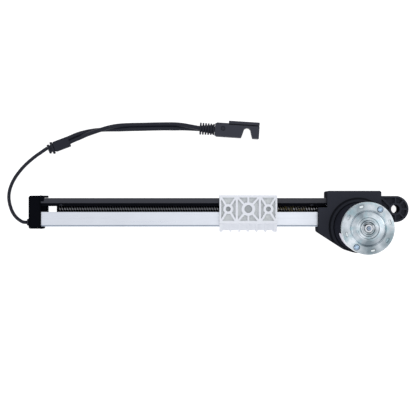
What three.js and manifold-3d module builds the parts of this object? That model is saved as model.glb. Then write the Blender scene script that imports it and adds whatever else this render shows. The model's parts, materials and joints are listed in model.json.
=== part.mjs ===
// Rail-type linear actuator. A geared motor turns a lead screw inside an aluminium rail, and the
// screw's nut drives a ribbed carriage along the rail between two limit switches.
//
// Millimetres. +X runs along the rail from the end cap to the gearbox, +Y across it, and +Z up
// from the surface that the actuator lies on, along the motor's axis. The assembly is modelled
// about the screw's line and the carriage's travel, and moved as a whole at the end, so that the
// origin is under the middle of the actuator.

import * as THREE from 'three';
import { mergeVertices } from 'three/addons/utils/BufferGeometryUtils.js';
import Module from 'manifold-3d';

const wasm = await Module();
wasm.setup();

// ---------------------------------------------------------------- driving dimensions

const gap = 0.3;                       // between pieces that touch
const overcut = 1;                     // how far a cutting tool runs past the face that it cuts
const roundSides = 36;

const rail = {
  left: -209, right: 165, back: 5, front: 36, bottom: -22.1, top: 12, wall: 2.4,
  ledge: 33.5, slotHalf: 3.6, channelHalf: 9.4, channelBack: 9, channelFront: 31,
  ductBottom: -19.7, ductTop: -11.8,
};
const windowCut = { left: -203, right: -192.2, half: 4 };

const cover = { right: 148.3, back: 12, front: 38.2, band: 36.2, bandTop: 7.3, top: 13.8 };

const screw = { height: 22, radius: 6, journal: 4, shaft: 5, left: -184.3, threadEnd: 162 };
const wheel = { teeth: 36, pitchRadius: 18, tipRadius: 18.9, rootRadius: 16.7, width: 12 };
const worm = { pitchRadius: 4.5, tipRadius: 5.4, rootRadius: 3.3, length: 20, bore: 2.2 };
const axialPitch = 2 * Math.PI * wheel.pitchRadius / wheel.teeth;

const motor = { x: 186.9, y: -(wheel.pitchRadius + worm.pitchRadius), foot: 50, top: 137 };
const shaft = { radius: 2.5, wormRadius: 1.9, foot: 6, top: 143 };
const throughBolt = { circle: 25.9, angles: [58, 238], radius: 1.6, head: 3, headHeight: 2 };
const can = { outer: 29.2, inner: 28, front: 130, floor: 2.4 };
const sleeve = { outer: 30.5, inner: 29.5, front: 124, cutFoot: 84, cut: [192, 243] };

const housing = {
  left: 137.3, notch: 148.6, right: 215.8, top: 22.7, front: 44, cheek: 2, backPlate: 3,
  arc: 32, diagonal: 241, arcEnd: 334.6,
};
const backPlate = { disc: 28, left: 167, right: 213, low: -20, high: 20 };
const tailBoss = { radius: 8, bore: 5.8, top: 9.5 };
const ringBoss = { foot: 36, shoulder: 33, shoulderHeight: 46 };
const chamber = { radius: 19.8, left: 179, right: 195 };
const seat = { radius: 9.3, right: 206 };
const motorBore = { foot: 17, footTop: 38, neck: 6.6 };
const coverScrews = [[172, 16], [209, 16], [168, -36], [204, -40]];
const coverScrew = { hole: 1.6, radius: 1.3, head: 2.8, headTop: 1.5, top: 10 };
const eye = {
  x: 235, hole: 5.4, boss: 8, radius: 16.5, straight: 16.4, wall: 2.3, rib: 2,
  back: 5, front: 33, floor: 29.5,
};

const cap = { left: -224.2, right: -209.3, bottom: -24.6, top: 16.8, front: 39 };
const gland = { y: -16.8, height: 10, left: -230.2, tip: 3.6, root: 6.4 };
const cable = { radius: 2.2, lead: 2.7, sides: 8 };

const carriage = {
  x: 50.2, halfLength: 35.9, front: 45, floor: 40.3, back: 1, top: 17.3, bottom: -25.6,
  plateBottom: -18.3, plateStep: 4, skirtFront: 34.5, ribTip: -28.4, ribFront: 37.5,
  boltPitch: 25, rib: 2.5, holeFloor: 39.4,
};
const nut = { halfLength: 15, half: 9, back: 9.4, front: 30.6, bore: 6.4, lug: 8 };
const lever = { width: 2.6, low: 4.3, high: 6.2, foot: 31, top: 37.5, travel: 1 };
const leverStart = { retract: -184.9, extend: 128.6 };

// ---------------------------------------------------------------- solids

// Turn a closed three.js geometry into a solid that can be joined and cut.
function solidOf(geometry) {
  const bare = geometry.clone();
  bare.deleteAttribute('normal');
  bare.deleteAttribute('uv');
  const merged = mergeVertices(bare, 1e-4);
  const corners = merged.index.array;
  const kept = [];
  for (let i = 0; i < corners.length; i += 3) {
    const [a, b, c] = [corners[i], corners[i + 1], corners[i + 2]];
    if (a !== b && b !== c && c !== a) kept.push(a, b, c);
  }
  return new wasm.Manifold(new wasm.Mesh({
    numProp: 3,
    vertProperties: new Float32Array(merged.attributes.position.array),
    triVerts: new Uint32Array(kept),
  }));
}

function geometryOf(solid) {
  const mesh = solid.getMesh();
  const geometry = new THREE.BufferGeometry();
  geometry.setAttribute('position', new THREE.BufferAttribute(new Float32Array(mesh.vertProperties), 3));
  geometry.setIndex(new THREE.BufferAttribute(new Uint32Array(mesh.triVerts), 1));
  geometry.computeVertexNormals();
  return geometry;
}

const join = (solids) => solids.reduce((whole, piece) => whole.add(piece));
const cut = (whole, tools) => tools.reduce((rest, tool) => rest.subtract(tool), whole);

// The turn that lays a drawing made in X and Y, with its depth along Z, across the given axis.
const acrossAxis = {
  z: new THREE.Matrix4(),
  x: new THREE.Matrix4().makeBasis(
    new THREE.Vector3(0, 1, 0), new THREE.Vector3(0, 0, 1), new THREE.Vector3(1, 0, 0)),
  y: new THREE.Matrix4().makeBasis(
    new THREE.Vector3(0, 0, 1), new THREE.Vector3(1, 0, 0), new THREE.Vector3(0, 1, 0)),
};

function block([x0, x1], [y0, y1], [z0, z1]) {
  const geometry = new THREE.BoxGeometry(x1 - x0, y1 - y0, z1 - z0);
  geometry.translate((x0 + x1) / 2, (y0 + y1) / 2, (z0 + z1) / 2);
  return solidOf(geometry);
}

// An outline's corners are [x, y] or [x, y, radius]; a corner with a radius becomes an arc.
function outline(corners, steps = 5) {
  const points = [];
  corners.forEach(([x, y, radius = 0], i) => {
    const corner = new THREE.Vector2(x, y);
    if (!radius) {
      points.push(corner);
      return;
    }
    const [beforeX, beforeY] = corners.at(i - 1);
    const [afterX, afterY] = corners[(i + 1) % corners.length];
    const before = new THREE.Vector2(beforeX, beforeY).sub(corner).normalize();
    const after = new THREE.Vector2(afterX, afterY).sub(corner).normalize();
    const halfAngle = Math.acos(THREE.MathUtils.clamp(before.dot(after), -1, 1)) / 2;
    const toCentre = radius / Math.sin(halfAngle);
    const toArc = radius / Math.tan(halfAngle);
    const centre = before.clone().add(after).normalize().multiplyScalar(toCentre).add(corner);
    const start = before.multiplyScalar(toArc).add(corner).sub(centre);
    const end = after.multiplyScalar(toArc).add(corner).sub(centre);
    const sweep = Math.atan2(start.cross(end), start.dot(end));
    for (let step = 0; step <= steps; step += 1) {
      const angle = start.angle() + sweep * step / steps;
      const point = new THREE.Vector2(Math.cos(angle), Math.sin(angle)).multiplyScalar(radius);
      points.push(point.add(centre));
    }
  });
  return points;
}

// An outline drawn across the axis and extruded from one place on it to another.
function bar(axis, points, [from, to], holes = []) {
  const shape = new THREE.Shape(points);
  shape.holes = holes.map((hole) => new THREE.Path(hole));
  const geometry = new THREE.ExtrudeGeometry(shape, { depth: to - from, bevelEnabled: false });
  geometry.translate(0, 0, from);
  return solidOf(geometry.applyMatrix4(acrossAxis[axis]));
}

function arc([x, y], radius, fromDegrees, toDegrees, steps) {
  return Array.from({ length: steps + 1 }, (_, i) => {
    const angle = THREE.MathUtils.degToRad(fromDegrees + (toDegrees - fromDegrees) * i / steps);
    return new THREE.Vector2(x + radius * Math.cos(angle), y + radius * Math.sin(angle));
  });
}

function rod(axis, radius, span, centre = [0, 0], sides = roundSides) {
  return bar(axis, arc(centre, radius, 0, 360, sides).slice(0, -1), span);
}

// A cutting tool's span that runs past both faces.
const past = ([from, to]) => [from - overcut, to + overcut];

function tube(axis, outer, inner, span, centre = [0, 0], sides = roundSides) {
  return rod(axis, outer, span, centre, sides).subtract(rod(axis, inner, past(span), centre, sides));
}

// A closed profile of [radius, height] corners, turned about the Z axis.
function turned(profile, sides = roundSides) {
  const points = [...profile, profile[0]].map(([radius, height]) => new THREE.Vector2(radius, height));
  const geometry = new THREE.LatheGeometry(points, sides);
  return solidOf(geometry.rotateX(Math.PI / 2));
}

const ring = (count, make) => Array.from({ length: count }, (_, i) => make(i * 360 / count));
const polar = (radius, degrees) => {
  const angle = THREE.MathUtils.degToRad(degrees);
  return [radius * Math.cos(angle), radius * Math.sin(angle)];
};

// ---------------------------------------------------------------- materials and nodes

const finish = (color, roughness, metalness = 0) => () =>
  new THREE.MeshStandardMaterial({ color, roughness, metalness });

const blackPlastic = finish(0x22242b, 0.5);
const slatePlastic = finish(0x3a3c46, 0.45);
const whiteNylon = finish(0xe6e9f0, 0.55);
const aluminium = finish(0xdde3ea, 0.35, 0.9);
const zinc = finish(0xc4ccce, 0.3, 0.9);
const steel = finish(0xa9adb2, 0.3, 1);
const darkSteel = finish(0x3b3a3a, 0.35, 0.9);
const bronze = finish(0xb08a4a, 0.4, 0.9);
const copper = finish(0xb5653a, 0.35, 0.9);
const ferrite = finish(0x2b2b2d, 0.8);
const nylonGear = finish(0xd9d2bd, 0.5);
const carbon = finish(0x202020, 0.7);
const boardGreen = finish(0x2f6b3f, 0.5);
const blackRubber = finish(0x1b1c20, 0.7);

function piece(name, solid, material) {
  const mesh = new THREE.Mesh(geometryOf(solid), material());
  mesh.name = name;
  return mesh;
}

function groupAt(position, children) {
  const group = new THREE.Group();
  group.position.set(...position);
  group.add(...children);
  return group;
}

// ---------------------------------------------------------------- rail and cover strip

const endCapScrews = [[-206.5, -5.5], [-206.5, 5.5]];
const railScrews = [[144, -4], [158, -4]];
const railScrew = { hole: 1.8, radius: 1.5, head: 3, headTop: 2, top: 8.6 };
const capScrew = { hole: 1.6, radius: 1.3, head: 2.5, headFoot: 3, top: 16 };
const ductCable = { radius: 2.2, y: -15.8, height: 12 };

function leverSlot(left, z) {
  const span = [left - lever.travel - gap, left + lever.width + lever.travel + gap];
  return block(span, [rail.slotHalf - overcut, lever.high + gap], z);
}

function makeRail() {
  const section = outline([
    [rail.bottom, rail.back, 3], [rail.top, rail.back, 1.2], [rail.top, rail.ledge],
    [rail.slotHalf, rail.ledge], [rail.slotHalf, rail.channelFront],
    [rail.channelHalf, rail.channelFront], [rail.channelHalf, rail.channelBack],
    [-rail.channelHalf, rail.channelBack], [-rail.channelHalf, rail.ledge],
    [-rail.slotHalf, rail.ledge], [-rail.slotHalf, rail.front, 0.5], [rail.bottom, rail.front, 3],
  ]);
  const duct = outline([
    [rail.ductBottom, rail.back + rail.wall, 1.5], [rail.ductTop, rail.back + rail.wall, 0.8],
    [rail.ductTop, rail.ledge, 0.8], [rail.ductBottom, rail.ledge, 1.5],
  ], 3);
  const backWall = [rail.back - overcut, rail.channelBack + overcut];
  const lip = [rail.channelFront - overcut, rail.ledge + overcut];
  return cut(bar('x', section, [rail.left, rail.right], [duct]), [
    block([windowCut.left, windowCut.right], [-windowCut.half, windowCut.half], backWall),
    ...Object.values(leverStart).map((left) => leverSlot(left, lip)),
    ...endCapScrews.map((place) => rod('z', capScrew.hole, backWall, place, 10)),
    ...railScrews.map((place) => rod('z', railScrew.hole, backWall, place, 10)),
  ]);
}

function makeCoverStrip() {
  const foot = rail.ledge + gap;
  const side = rail.top + gap;
  const section = outline([
    [rail.slotHalf, foot], [side, foot], [side, cover.back], [cover.top, cover.back, 0.4],
    [cover.top, cover.front, 1.4], [cover.bandTop, cover.front, 0.4], [cover.bandTop, cover.band],
    [rail.slotHalf, cover.band, 0.3],
  ], 3);
  const through = [foot - overcut, cover.band + overcut];
  return cut(bar('x', section, [rail.left, cover.right]),
    Object.values(leverStart).map((left) => leverSlot(left, through)));
}

// ---------------------------------------------------------------- end cap, gland, screws

function makeEndCap() {
  const { left, right, bottom, top, front } = cap;
  const body = bar('z', outline([
    [left, bottom, 2.5], [right, bottom, 0.6], [right, top, 0.6], [left, top, 3],
  ], 4), [0, front]);
  const spigot = block([right - overcut, -203.6], [-8.9, 8.9],
    [rail.channelBack + gap, rail.channelFront - gap]);
  const upperTab = block([right - overcut, -200.1], [cover.top + gap, top], [31, 37]);
  const lug = bar('z', outline([
    [right - overcut, bottom], [-207.5, bottom], [-204.6, rail.bottom - gap - 0.9],
    [-204.6, rail.bottom - gap], [right - overcut, rail.bottom - gap],
  ]), [27, 34]);
  const frontShelf = block([right - overcut, -205], [9.6, top], [cover.front + gap, front]);
  const cableWay = rod('x', 3, past([left, right]), [gland.y + 1, ductCable.height], 16);
  const screwHoles = endCapScrews.map((place) => rod('z', capScrew.hole,
    [rail.back, capScrew.top + 0.5], place, 10));
  return cut(join([body, spigot, upperTab, lug, frontShelf]), [cableWay, ...screwHoles]);
}

// A tapered collar that the cable leaves through, closed round the cable's end.
function makeGland() {
  const left = gland.left;
  const right = cap.left - gap;
  const side = bar('z', outline([
    [left, gland.y - gland.tip, 0.8], [right, gland.y - gland.root],
    [right, gland.y + gland.root], [left, gland.y + gland.tip, 0.8],
  ], 3), [gland.height - gland.root, gland.height + gland.root]);
  const top = bar('y', outline([
    [gland.height - gland.tip, left, 0.8], [gland.height + gland.tip, left, 0.8],
    [gland.height + gland.root, right], [gland.height - gland.root, right],
  ], 3), [gland.y - gland.root - overcut, gland.y + gland.root + overcut]);
  return side.intersect(top);
}

function zScrew(place, { radius, head, top }, headFoot, headTop) {
  return rod('z', head, [headFoot, headTop], place, 10)
    .add(rod('z', radius, [headTop - 0.2, top], place, 10));
}

// ---------------------------------------------------------------- gearbox housing

function housingOutline() {
  const edge = arc([motor.x, motor.y], housing.arc, housing.diagonal, housing.arcEnd, 20);
  const slope = Math.tan(THREE.MathUtils.degToRad(housing.diagonal - 210));
  const corner = edge[0].y + (edge[0].x - housing.left) * slope;
  return outline([
    [housing.left, corner + 1.5, 4], ...edge.map((point) => point.toArray()),
    [housing.right, motor.y], [housing.right, housing.top, 2.5], [housing.notch, housing.top, 2.2],
    [housing.notch, housing.cheek], [housing.left, housing.cheek],
  ], 4);
}

function backPlateShape(offset) {
  const { disc, left, right, low, high } = backPlate;
  const depth = [0, housing.backPlate + offset];
  const plate = bar('z', outline([
    [left - offset, low], [right + offset, low], [right + offset, high + offset, 2],
    [left - offset, high + offset, 2],
  ], 4), depth);
  return rod('z', disc + offset, depth, [motor.x, motor.y]).add(plate);
}

const screwLine = [0, screw.height];
const gearChamber = () => rod('x', chamber.radius, [chamber.left, chamber.right], screwLine);

function makeEyePockets() {
  const depth = [eye.floor, eye.front + overcut];
  const rim = eye.radius - eye.wall;
  const ribs = [90, 45, 0, -45, -90].map((degrees) => {
    const rib = new THREE.BoxGeometry(rim + overcut, eye.rib, eye.front);
    rib.translate((rim + overcut) / 2, 0, eye.floor);
    rib.rotateZ(THREE.MathUtils.degToRad(degrees));
    return solidOf(rib.translate(eye.x, 0, 0));
  });
  const web = new THREE.BoxGeometry(24, 2.6, eye.front);
  web.rotateZ(-Math.PI / 4);
  web.translate(223.5, 8.5, eye.floor);
  const round = rod('z', rim, depth, [eye.x, 0]);
  const neck = block([housing.right + 1.8, eye.x], [-rim, eye.straight - eye.wall], depth);
  return cut(round.add(neck), [
    rod('z', eye.boss, [0, eye.front + 2 * overcut], [eye.x, 0]), ...ribs, solidOf(web),
  ]);
}

// A bearing's seat, open to the back of the housing.
function seatSlot(left, right) {
  const slot = block([left, right], [-seat.radius, seat.radius], [0, screw.height]);
  return slot.add(rod('x', seat.radius, [left, right], screwLine));
}

function makeHousing() {
  const onMotor = [motor.x, motor.y];
  const body = bar('z', housingOutline(), [0, housing.front]);
  const boss = turned([
    [motorBore.neck, housing.front - overcut], [ringBoss.foot, housing.front - overcut],
    [ringBoss.foot, ringBoss.shoulderHeight], [ringBoss.shoulder, motor.foot],
    [motorBore.neck, motor.foot],
  ]).translate([motor.x, motor.y, 0]);
  const limits = bar('z', housingOutline(), [0, motor.foot + overcut]);
  const eyeBody = bar('z', [
    new THREE.Vector2(housing.right - 8, -eye.radius), ...arc([eye.x, 0], eye.radius, -90, 84, 22),
    new THREE.Vector2(housing.right - 8, eye.straight),
  ], [eye.back, eye.front]);
  const railPocket = block([housing.left - overcut, rail.right + gap],
    [rail.bottom - gap, rail.top + gap], [rail.back - gap, rail.front + gap]);
  const tools = [
    railPocket,
    backPlateShape(gap),
    gearChamber(),
    block([chamber.left, chamber.right], [-chamber.radius, chamber.radius], [0, screw.height]),
    seatSlot(rail.right, chamber.left + overcut),
    seatSlot(chamber.right - overcut, seat.right),
    rod('z', motorBore.foot, [-overcut, motorBore.footTop], onMotor),
    rod('z', motorBore.neck, [30, motor.foot + overcut], onMotor, 24),
    rod('z', eye.hole, [0, housing.front], [eye.x, 0]),
    makeEyePockets(),
    ...coverScrews.map((place) => rod('z', coverScrew.hole, [0, coverScrew.top + 0.5], place, 10)),
    ...railScrews.flatMap((place) => [
      rod('z', railScrew.hole, [-overcut, 6], place, 10),
      rod('z', railScrew.head + gap, [-overcut, railScrew.headTop + gap], place, 10),
    ]),
    ...throughBolt.angles.map((degrees) => {
      const [dx, dy] = polar(throughBolt.circle, degrees);
      return rod('z', throughBolt.radius + gap, [43, motor.foot + overcut],
        [motor.x + dx, motor.y + dy], 10);
    }),
  ];
  return cut(join([body, boss.intersect(limits), eyeBody]), tools);
}

function makeBackCover() {
  const boss = tube('z', tailBoss.radius, tailBoss.bore, [housing.backPlate - 0.6, tailBoss.top],
    [motor.x, motor.y], 24);
  return cut(backPlateShape(0).subtract(gearChamber()).add(boss), [
    ...coverScrews.map((place) => rod('z', coverScrew.hole, [-overcut, 5], place, 10)),
    ...coverScrews.map((place) => rod('z', coverScrew.head + gap, [-overcut, coverScrew.headTop + gap],
      place, 10)),
    rod('z', tailBoss.bore, [2.2, 6], [motor.x, motor.y], 24),
    block([chamber.left, chamber.right], [-wheel.tipRadius, motor.y + tailBoss.radius + 0.2], [3.2, 10]),
  ]);
}

// ---------------------------------------------------------------- screw line

function makeLeadScrew() {
  return join([
    rod('x', screw.journal, [-189.8, screw.left + overcut], [0, 0], 24),
    rod('x', screw.radius, [screw.left, screw.threadEnd], [0, 0], 24),
    rod('x', screw.shaft, [screw.threadEnd - overcut, 205.5], [0, 0], 24),
  ]);
}

function makeEndBush() {
  return cut(block([-190, screw.left - gap], [-9.1, 9.1], [-12.7, 8.7]), [
    rod('x', screw.journal + gap, [-192, -183], [0, 0], 24),
  ]);
}

// Straight teeth, turned by the worm's lead angle, with wide gaps for the thread. A gap faces the worm.
function makeWormWheel() {
  const leadAngle = Math.atan(axialPitch / (2 * Math.PI * worm.pitchRadius));
  const toothStep = 360 / wheel.teeth;
  const toothShape = outline([[-0.75, wheel.rootRadius - 0.6], [0.75, wheel.rootRadius - 0.6],
    [0.35, wheel.tipRadius], [-0.35, wheel.tipRadius]]);
  const teeth = ring(wheel.teeth, (degrees) => {
    const geometry = new THREE.ExtrudeGeometry(new THREE.Shape(toothShape),
      { depth: wheel.width, bevelEnabled: false });
    geometry.translate(0, 0, -wheel.width / 2);
    geometry.rotateY(Math.PI / 2 - leadAngle);
    geometry.rotateX(THREE.MathUtils.degToRad(degrees + toothStep / 2 - 90));
    return solidOf(geometry.translate(motor.x, 0, 0));
  });
  const face = [motor.x - wheel.width / 2, motor.x + wheel.width / 2];
  const body = rod('x', wheel.rootRadius, face);
  const hub = rod('x', 9, [face[0] - 1.2, face[1] + 1.2], [0, 0], 24);
  return join([body, hub, ...teeth]).subtract(rod('x', screw.shaft + gap, [170, 205], [0, 0], 24));
}

const bearing = (span) => tube('x', 9, screw.shaft + gap, span, [0, 0], 20);

// ---------------------------------------------------------------- motor line

// A right-hand thread whose ridge faces the wheel (+Y) halfway up the worm.
function makeWorm() {
  const stepsPerTurn = 16;
  const turns = 4;
  const section = [[worm.rootRadius - 0.5, -0.85], [worm.tipRadius, -0.35], [worm.tipRadius, 0.35],
    [worm.rootRadius - 0.5, 0.85]];
  const corners = section.length;
  const count = stepsPerTurn * turns;
  const positions = [];
  for (let step = 0; step <= count; step += 1) {
    const turn = step / stepsPerTurn - turns / 2;
    const angle = 2 * Math.PI * turn + Math.PI / 2;
    section.forEach(([radius, height]) => {
      positions.push(radius * Math.cos(angle), radius * Math.sin(angle), axialPitch * turn + height);
    });
  }
  const faces = [];
  for (let step = 0; step < count; step += 1) {
    for (let side = 0; side < corners; side += 1) {
      const next = (side + 1) % corners;
      const [a, b] = [step * corners + side, step * corners + next];
      faces.push(a, a + corners, b, b, a + corners, b + corners);
    }
  }
  const last = count * corners;
  for (let side = 1; side < corners - 1; side += 1) {
    faces.push(0, side, side + 1, last, last + side + 1, last + side);
  }
  const thread = new wasm.Manifold(new wasm.Mesh({
    numProp: 3, vertProperties: new Float32Array(positions), triVerts: new Uint32Array(faces),
  }));
  const half = worm.length / 2;
  return rod('z', worm.rootRadius, [-half, half], [0, 0], 24).add(thread)
    .subtract(rod('z', worm.bore, [-half - overcut, half + overcut], [0, 0], 16))
    .translate([0, 0, screw.height]);
}

function makeMotorShaft() {
  return rod('z', shaft.wormRadius, [shaft.foot, 37], [0, 0], 20)
    .add(rod('z', shaft.radius, [36, shaft.top], [0, 0], 24));
}

const boltPlaces = throughBolt.angles.map((degrees) => polar(throughBolt.circle, degrees));
const boltHoles = (span) => boltPlaces.map((place) => rod('z', throughBolt.radius + gap, span, place, 10));

function makeMotorCan() {
  const foot = motor.foot + gap;
  const floor = foot + can.floor;
  const wall = turned([
    [motorBore.neck, foot], [can.outer, foot], [can.outer, can.front], [can.inner, can.front],
    [can.inner, floor], [motorBore.neck, floor],
  ]);
  return cut(wall, boltHoles(past([foot, floor])));
}

// A sleeve over the can, cut away to half its height over a short arc.
function makeMotorSleeve() {
  const wall = tube('z', sleeve.outer, sleeve.inner, [motor.foot + gap, sleeve.front], [0, 0], 44);
  const wedge = [new THREE.Vector2(0, 0), ...arc([0, 0], sleeve.outer + 5, ...sleeve.cut, 6)];
  return wall.subtract(bar('z', wedge, [sleeve.cutFoot, sleeve.front + overcut]));
}

// A pressed cap: flat outer ring with six slots, groove, shallow dome and the rear bush's boss.
function makeMotorEndCap() {
  const foot = can.front + gap;
  const shell = turned([
    [4.8, 133], [12, 133], [12, foot], [30.8, foot], [30.8, 136.2], [30, motor.top], [21.4, motor.top],
    [20.8, 136.2], [20.2, 137], [18.4, 138.2], [12.6, 139], [11.6, 137.4], [9.4, 137.4], [9.2, 141.2],
    [7.6, 141.5], [7.1, 139.6], [5.4, 139.6], [5.2, 141.2], [4.8, 141.2],
  ]);
  const skirt = tube('z', 30.8, sleeve.inner, [125, can.front + overcut]);
  const slots = ring(8, (degrees) => degrees + 13)
    .filter((degrees) => !throughBolt.angles.includes(degrees))
    .map((degrees) => {
      const slot = new THREE.BoxGeometry(1.9, 4.6, 2);
      slot.translate(throughBolt.circle + 0.4, 0, motor.top + 0.2);
      return solidOf(slot.rotateZ(THREE.MathUtils.degToRad(degrees)));
    });
  return cut(shell.add(skirt), [...slots, ...boltHoles([foot - overcut, motor.top + 2 * overcut])]);
}

function makeThroughBolt(place) {
  const [foot, top] = [motor.top + gap, motor.top + gap + throughBolt.headHeight];
  const shank = rod('z', throughBolt.radius, [44, foot + 0.2], place, 10);
  const head = rod('z', throughBolt.head, [foot, top], place, 14);
  const [x, y] = place;
  const slot = block([x - 2.2, x + 2.2], [y - 0.4, y + 0.4], [foot + 1.1, top + overcut]);
  return shank.add(head).subtract(slot);
}

function makeMagnet(middleDegrees) {
  const [outer, inner] = [27.7, 22.6];
  const from = middleDegrees - 54;
  const to = middleDegrees + 54;
  return bar('z', [...arc([0, 0], outer, from, to, 14), ...arc([0, 0], inner, to, from, 14)], [60, 112]);
}

function makeArmature() {
  const slots = ring(8, (degrees) => {
    const slot = new THREE.BoxGeometry(9, 3, 60);
    slot.translate(18, 0, 86);
    return solidOf(slot.rotateZ(THREE.MathUtils.degToRad(degrees)));
  });
  const windings = turned([[4, 60], [14, 60], [16.5, 63], [16.5, 109], [14, 112], [4, 112]], 24);
  return cut(rod('z', 21.6, [66, 106], [0, 0], 40), slots).add(windings)
    .subtract(rod('z', shaft.radius + gap, [50, 120], [0, 0], 16));
}

function makeCommutator() {
  const bars = ring(8, (degrees) => {
    const slit = new THREE.BoxGeometry(3, 0.6, 20);
    slit.translate(9, 0, 118);
    return solidOf(slit.rotateZ(THREE.MathUtils.degToRad(degrees)));
  });
  return cut(tube('z', 8.6, shaft.radius + gap, [112.6, 124], [0, 0], 24), bars);
}

function makeBrushCard() {
  return cut(tube('z', 27.6, 10.5, [125, 127.2]), boltHoles([124, 129]));
}

const makeBrush = (side) => block(
  [side > 0 ? 9 : -19, side > 0 ? 19 : -9], [-2.5, 2.5], [114.5, 124.7]);

// ---------------------------------------------------------------- limit switches

function makeSwitchBody(left, side) {
  const start = side < 0 ? screw.left + gap : left - 11;
  const body = block([start, start + 14], [3.9, 9.1], [27.4, rail.channelFront - gap]);
  const screwRoom = rod('x', screw.radius + 0.6, [start - overcut, start + 15], screwLine, 24);
  return body.subtract(screwRoom);
}

function makeLever(left) {
  const stem = block([left, left + lever.width], [lever.low, lever.high], [lever.foot, lever.top]);
  const nose = rod('y', 0.8, [lever.low, lever.high], [lever.top, left + lever.width / 2], 16);
  return stem.add(nose);
}

// ---------------------------------------------------------------- carriage and nut

function crossRib(fromX, fromY, toX, toY, width) {
  const length = Math.hypot(toX - fromX, toY - fromY);
  const rib = new THREE.BoxGeometry(length, width, 20);
  rib.rotateZ(Math.atan2(toY - fromY, toX - fromX));
  return solidOf(rib.translate((fromX + toX) / 2, (fromY + toY) / 2, carriage.front - 4));
}

function makeCarriage() {
  const half = carriage.halfLength;
  const shell = bar('x', outline([
    [carriage.bottom, carriage.back, 1.5], [carriage.top, carriage.back, 1.5],
    [carriage.top, carriage.front, 0.8], [carriage.plateBottom, carriage.front, 0.6],
    [carriage.plateBottom, carriage.front - carriage.plateStep],
    [carriage.bottom, carriage.skirtFront, 0.8],
  ], 3), [-half, half]);
  const tunnel = bar('x', outline([
    [rail.bottom - 0.5, rail.back - 0.5, 2.5], [cover.top + 0.5, rail.back - 0.5, 1],
    [cover.top + 0.5, cover.front + 0.6], [rail.slotHalf - 0.4, cover.front + 0.6],
    [rail.slotHalf - 0.4, rail.front + 0.6], [rail.bottom - 0.5, rail.front + 0.6, 2.5],
  ], 3), [-half - overcut, half + overcut]);

  const cells = { low: -14.7, high: 14.2, end: half - 2.2, divider: 14.4, dividerHalf: 1.4 };
  const middle = { from: -cells.divider + cells.dividerHalf, to: cells.divider - cells.dividerHalf };
  const outer = { from: cells.divider + cells.dividerHalf, to: cells.end };
  const depth = [carriage.floor, carriage.front + overcut];
  const pocket = (from, to) => block([from, to], [cells.low, cells.high], depth);
  const cornersOf = (from, to) => [from, to].flatMap((x) => [[x, cells.low], [x, cells.high]]);
  const bosses = [
    { x: -carriage.boltPitch, radius: 6, hole: 3.1, from: -outer.to, to: -outer.from },
    { x: 0, radius: 8.3, hole: 4.9, from: middle.from, to: middle.to },
    { x: carriage.boltPitch, radius: 6, hole: 3.1, from: outer.from, to: outer.to },
  ];
  const bossRibs = bosses.flatMap(({ x, radius, from, to }) => [
    rod('z', radius, [carriage.floor - overcut, carriage.front + 2 * overcut], [x, 0], 24),
    ...cornersOf(from, to).map(([toX, toY]) => crossRib(x, 0, toX, toY, carriage.rib)),
  ]);
  const pockets = cut(join(bosses.map(({ from, to }) => pocket(from, to))), [
    ...bossRibs, crossRib(0, cells.low, 0, cells.high, 2.2),
  ]);

  const gussets = [-2, -1, 0, 1, 2].map((i) => ({ x: i * 11, half: 0.9 }));
  const endGussets = [-1, 1].map((side) => ({ x: side * (half - 2), half: 2 }));
  const ribs = [...gussets, ...endGussets].map(({ x, half: halfWidth }) => bar('x', outline([
    [carriage.bottom + 1, carriage.back], [carriage.ribTip, carriage.back, 1],
    [carriage.ribTip, carriage.ribFront, 0.8], [carriage.plateBottom, carriage.front - 0.4],
    [carriage.plateBottom + 1, carriage.front - 5],
  ], 3), [x - halfWidth, x + halfWidth]));

  const neckHalf = rail.slotHalf - 0.4;
  const necks = [-1, 1].map((side) => {
    const span = [nut.lug + gap, 30].map((place) => place * side).sort((a, b) => a - b);
    return block(span, [-neckHalf, neckHalf], [nut.front + gap, carriage.floor - 0.5]);
  });
  const holes = bosses.map(({ x, hole }) => rod('z', hole,
    [carriage.holeFloor, carriage.front + overcut], [x, 0], 20));
  return cut(join([join([shell, ...ribs]).subtract(tunnel), ...necks]), [pockets, ...holes]);
}

function makeNut() {
  const body = block([-nut.halfLength, nut.halfLength], [-nut.half, nut.half], [nut.back, nut.front]);
  const lug = block([-nut.lug, nut.lug], [-rail.slotHalf + 0.4, rail.slotHalf - 0.4],
    [nut.front - overcut, 36]);
  return body.add(lug).subtract(rod('x', nut.bore, [-20, 20], screwLine, 24));
}

// ---------------------------------------------------------------- cable, splitter, leads and plug

const splitter = { x: -191.1, y: 82.05, turn: 20.9, left: -14.4, block: -6.5, right: 14.4 };
const splitterBlock = { low: -7.4, high: 6 };
const splitterCore = { radius: 3, height: 3.2 };
const splitterRings = [
  { left: -14.4, width: 2.6, low: -6.8, high: 5.2 }, { left: -9.9, width: 2.7, low: -8.8, high: 7 },
];
const plug = {
  x: 8.65, y: 101.4, turn: -3.7, length: 56.6, half: 8.8, thickness: 15, ridge: 12.2,
};
const boot = { length: 19, core: 3.6, ringHalf: 7.7, ringHeight: 7, rings: 6, ringWidth: 2 };

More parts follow.
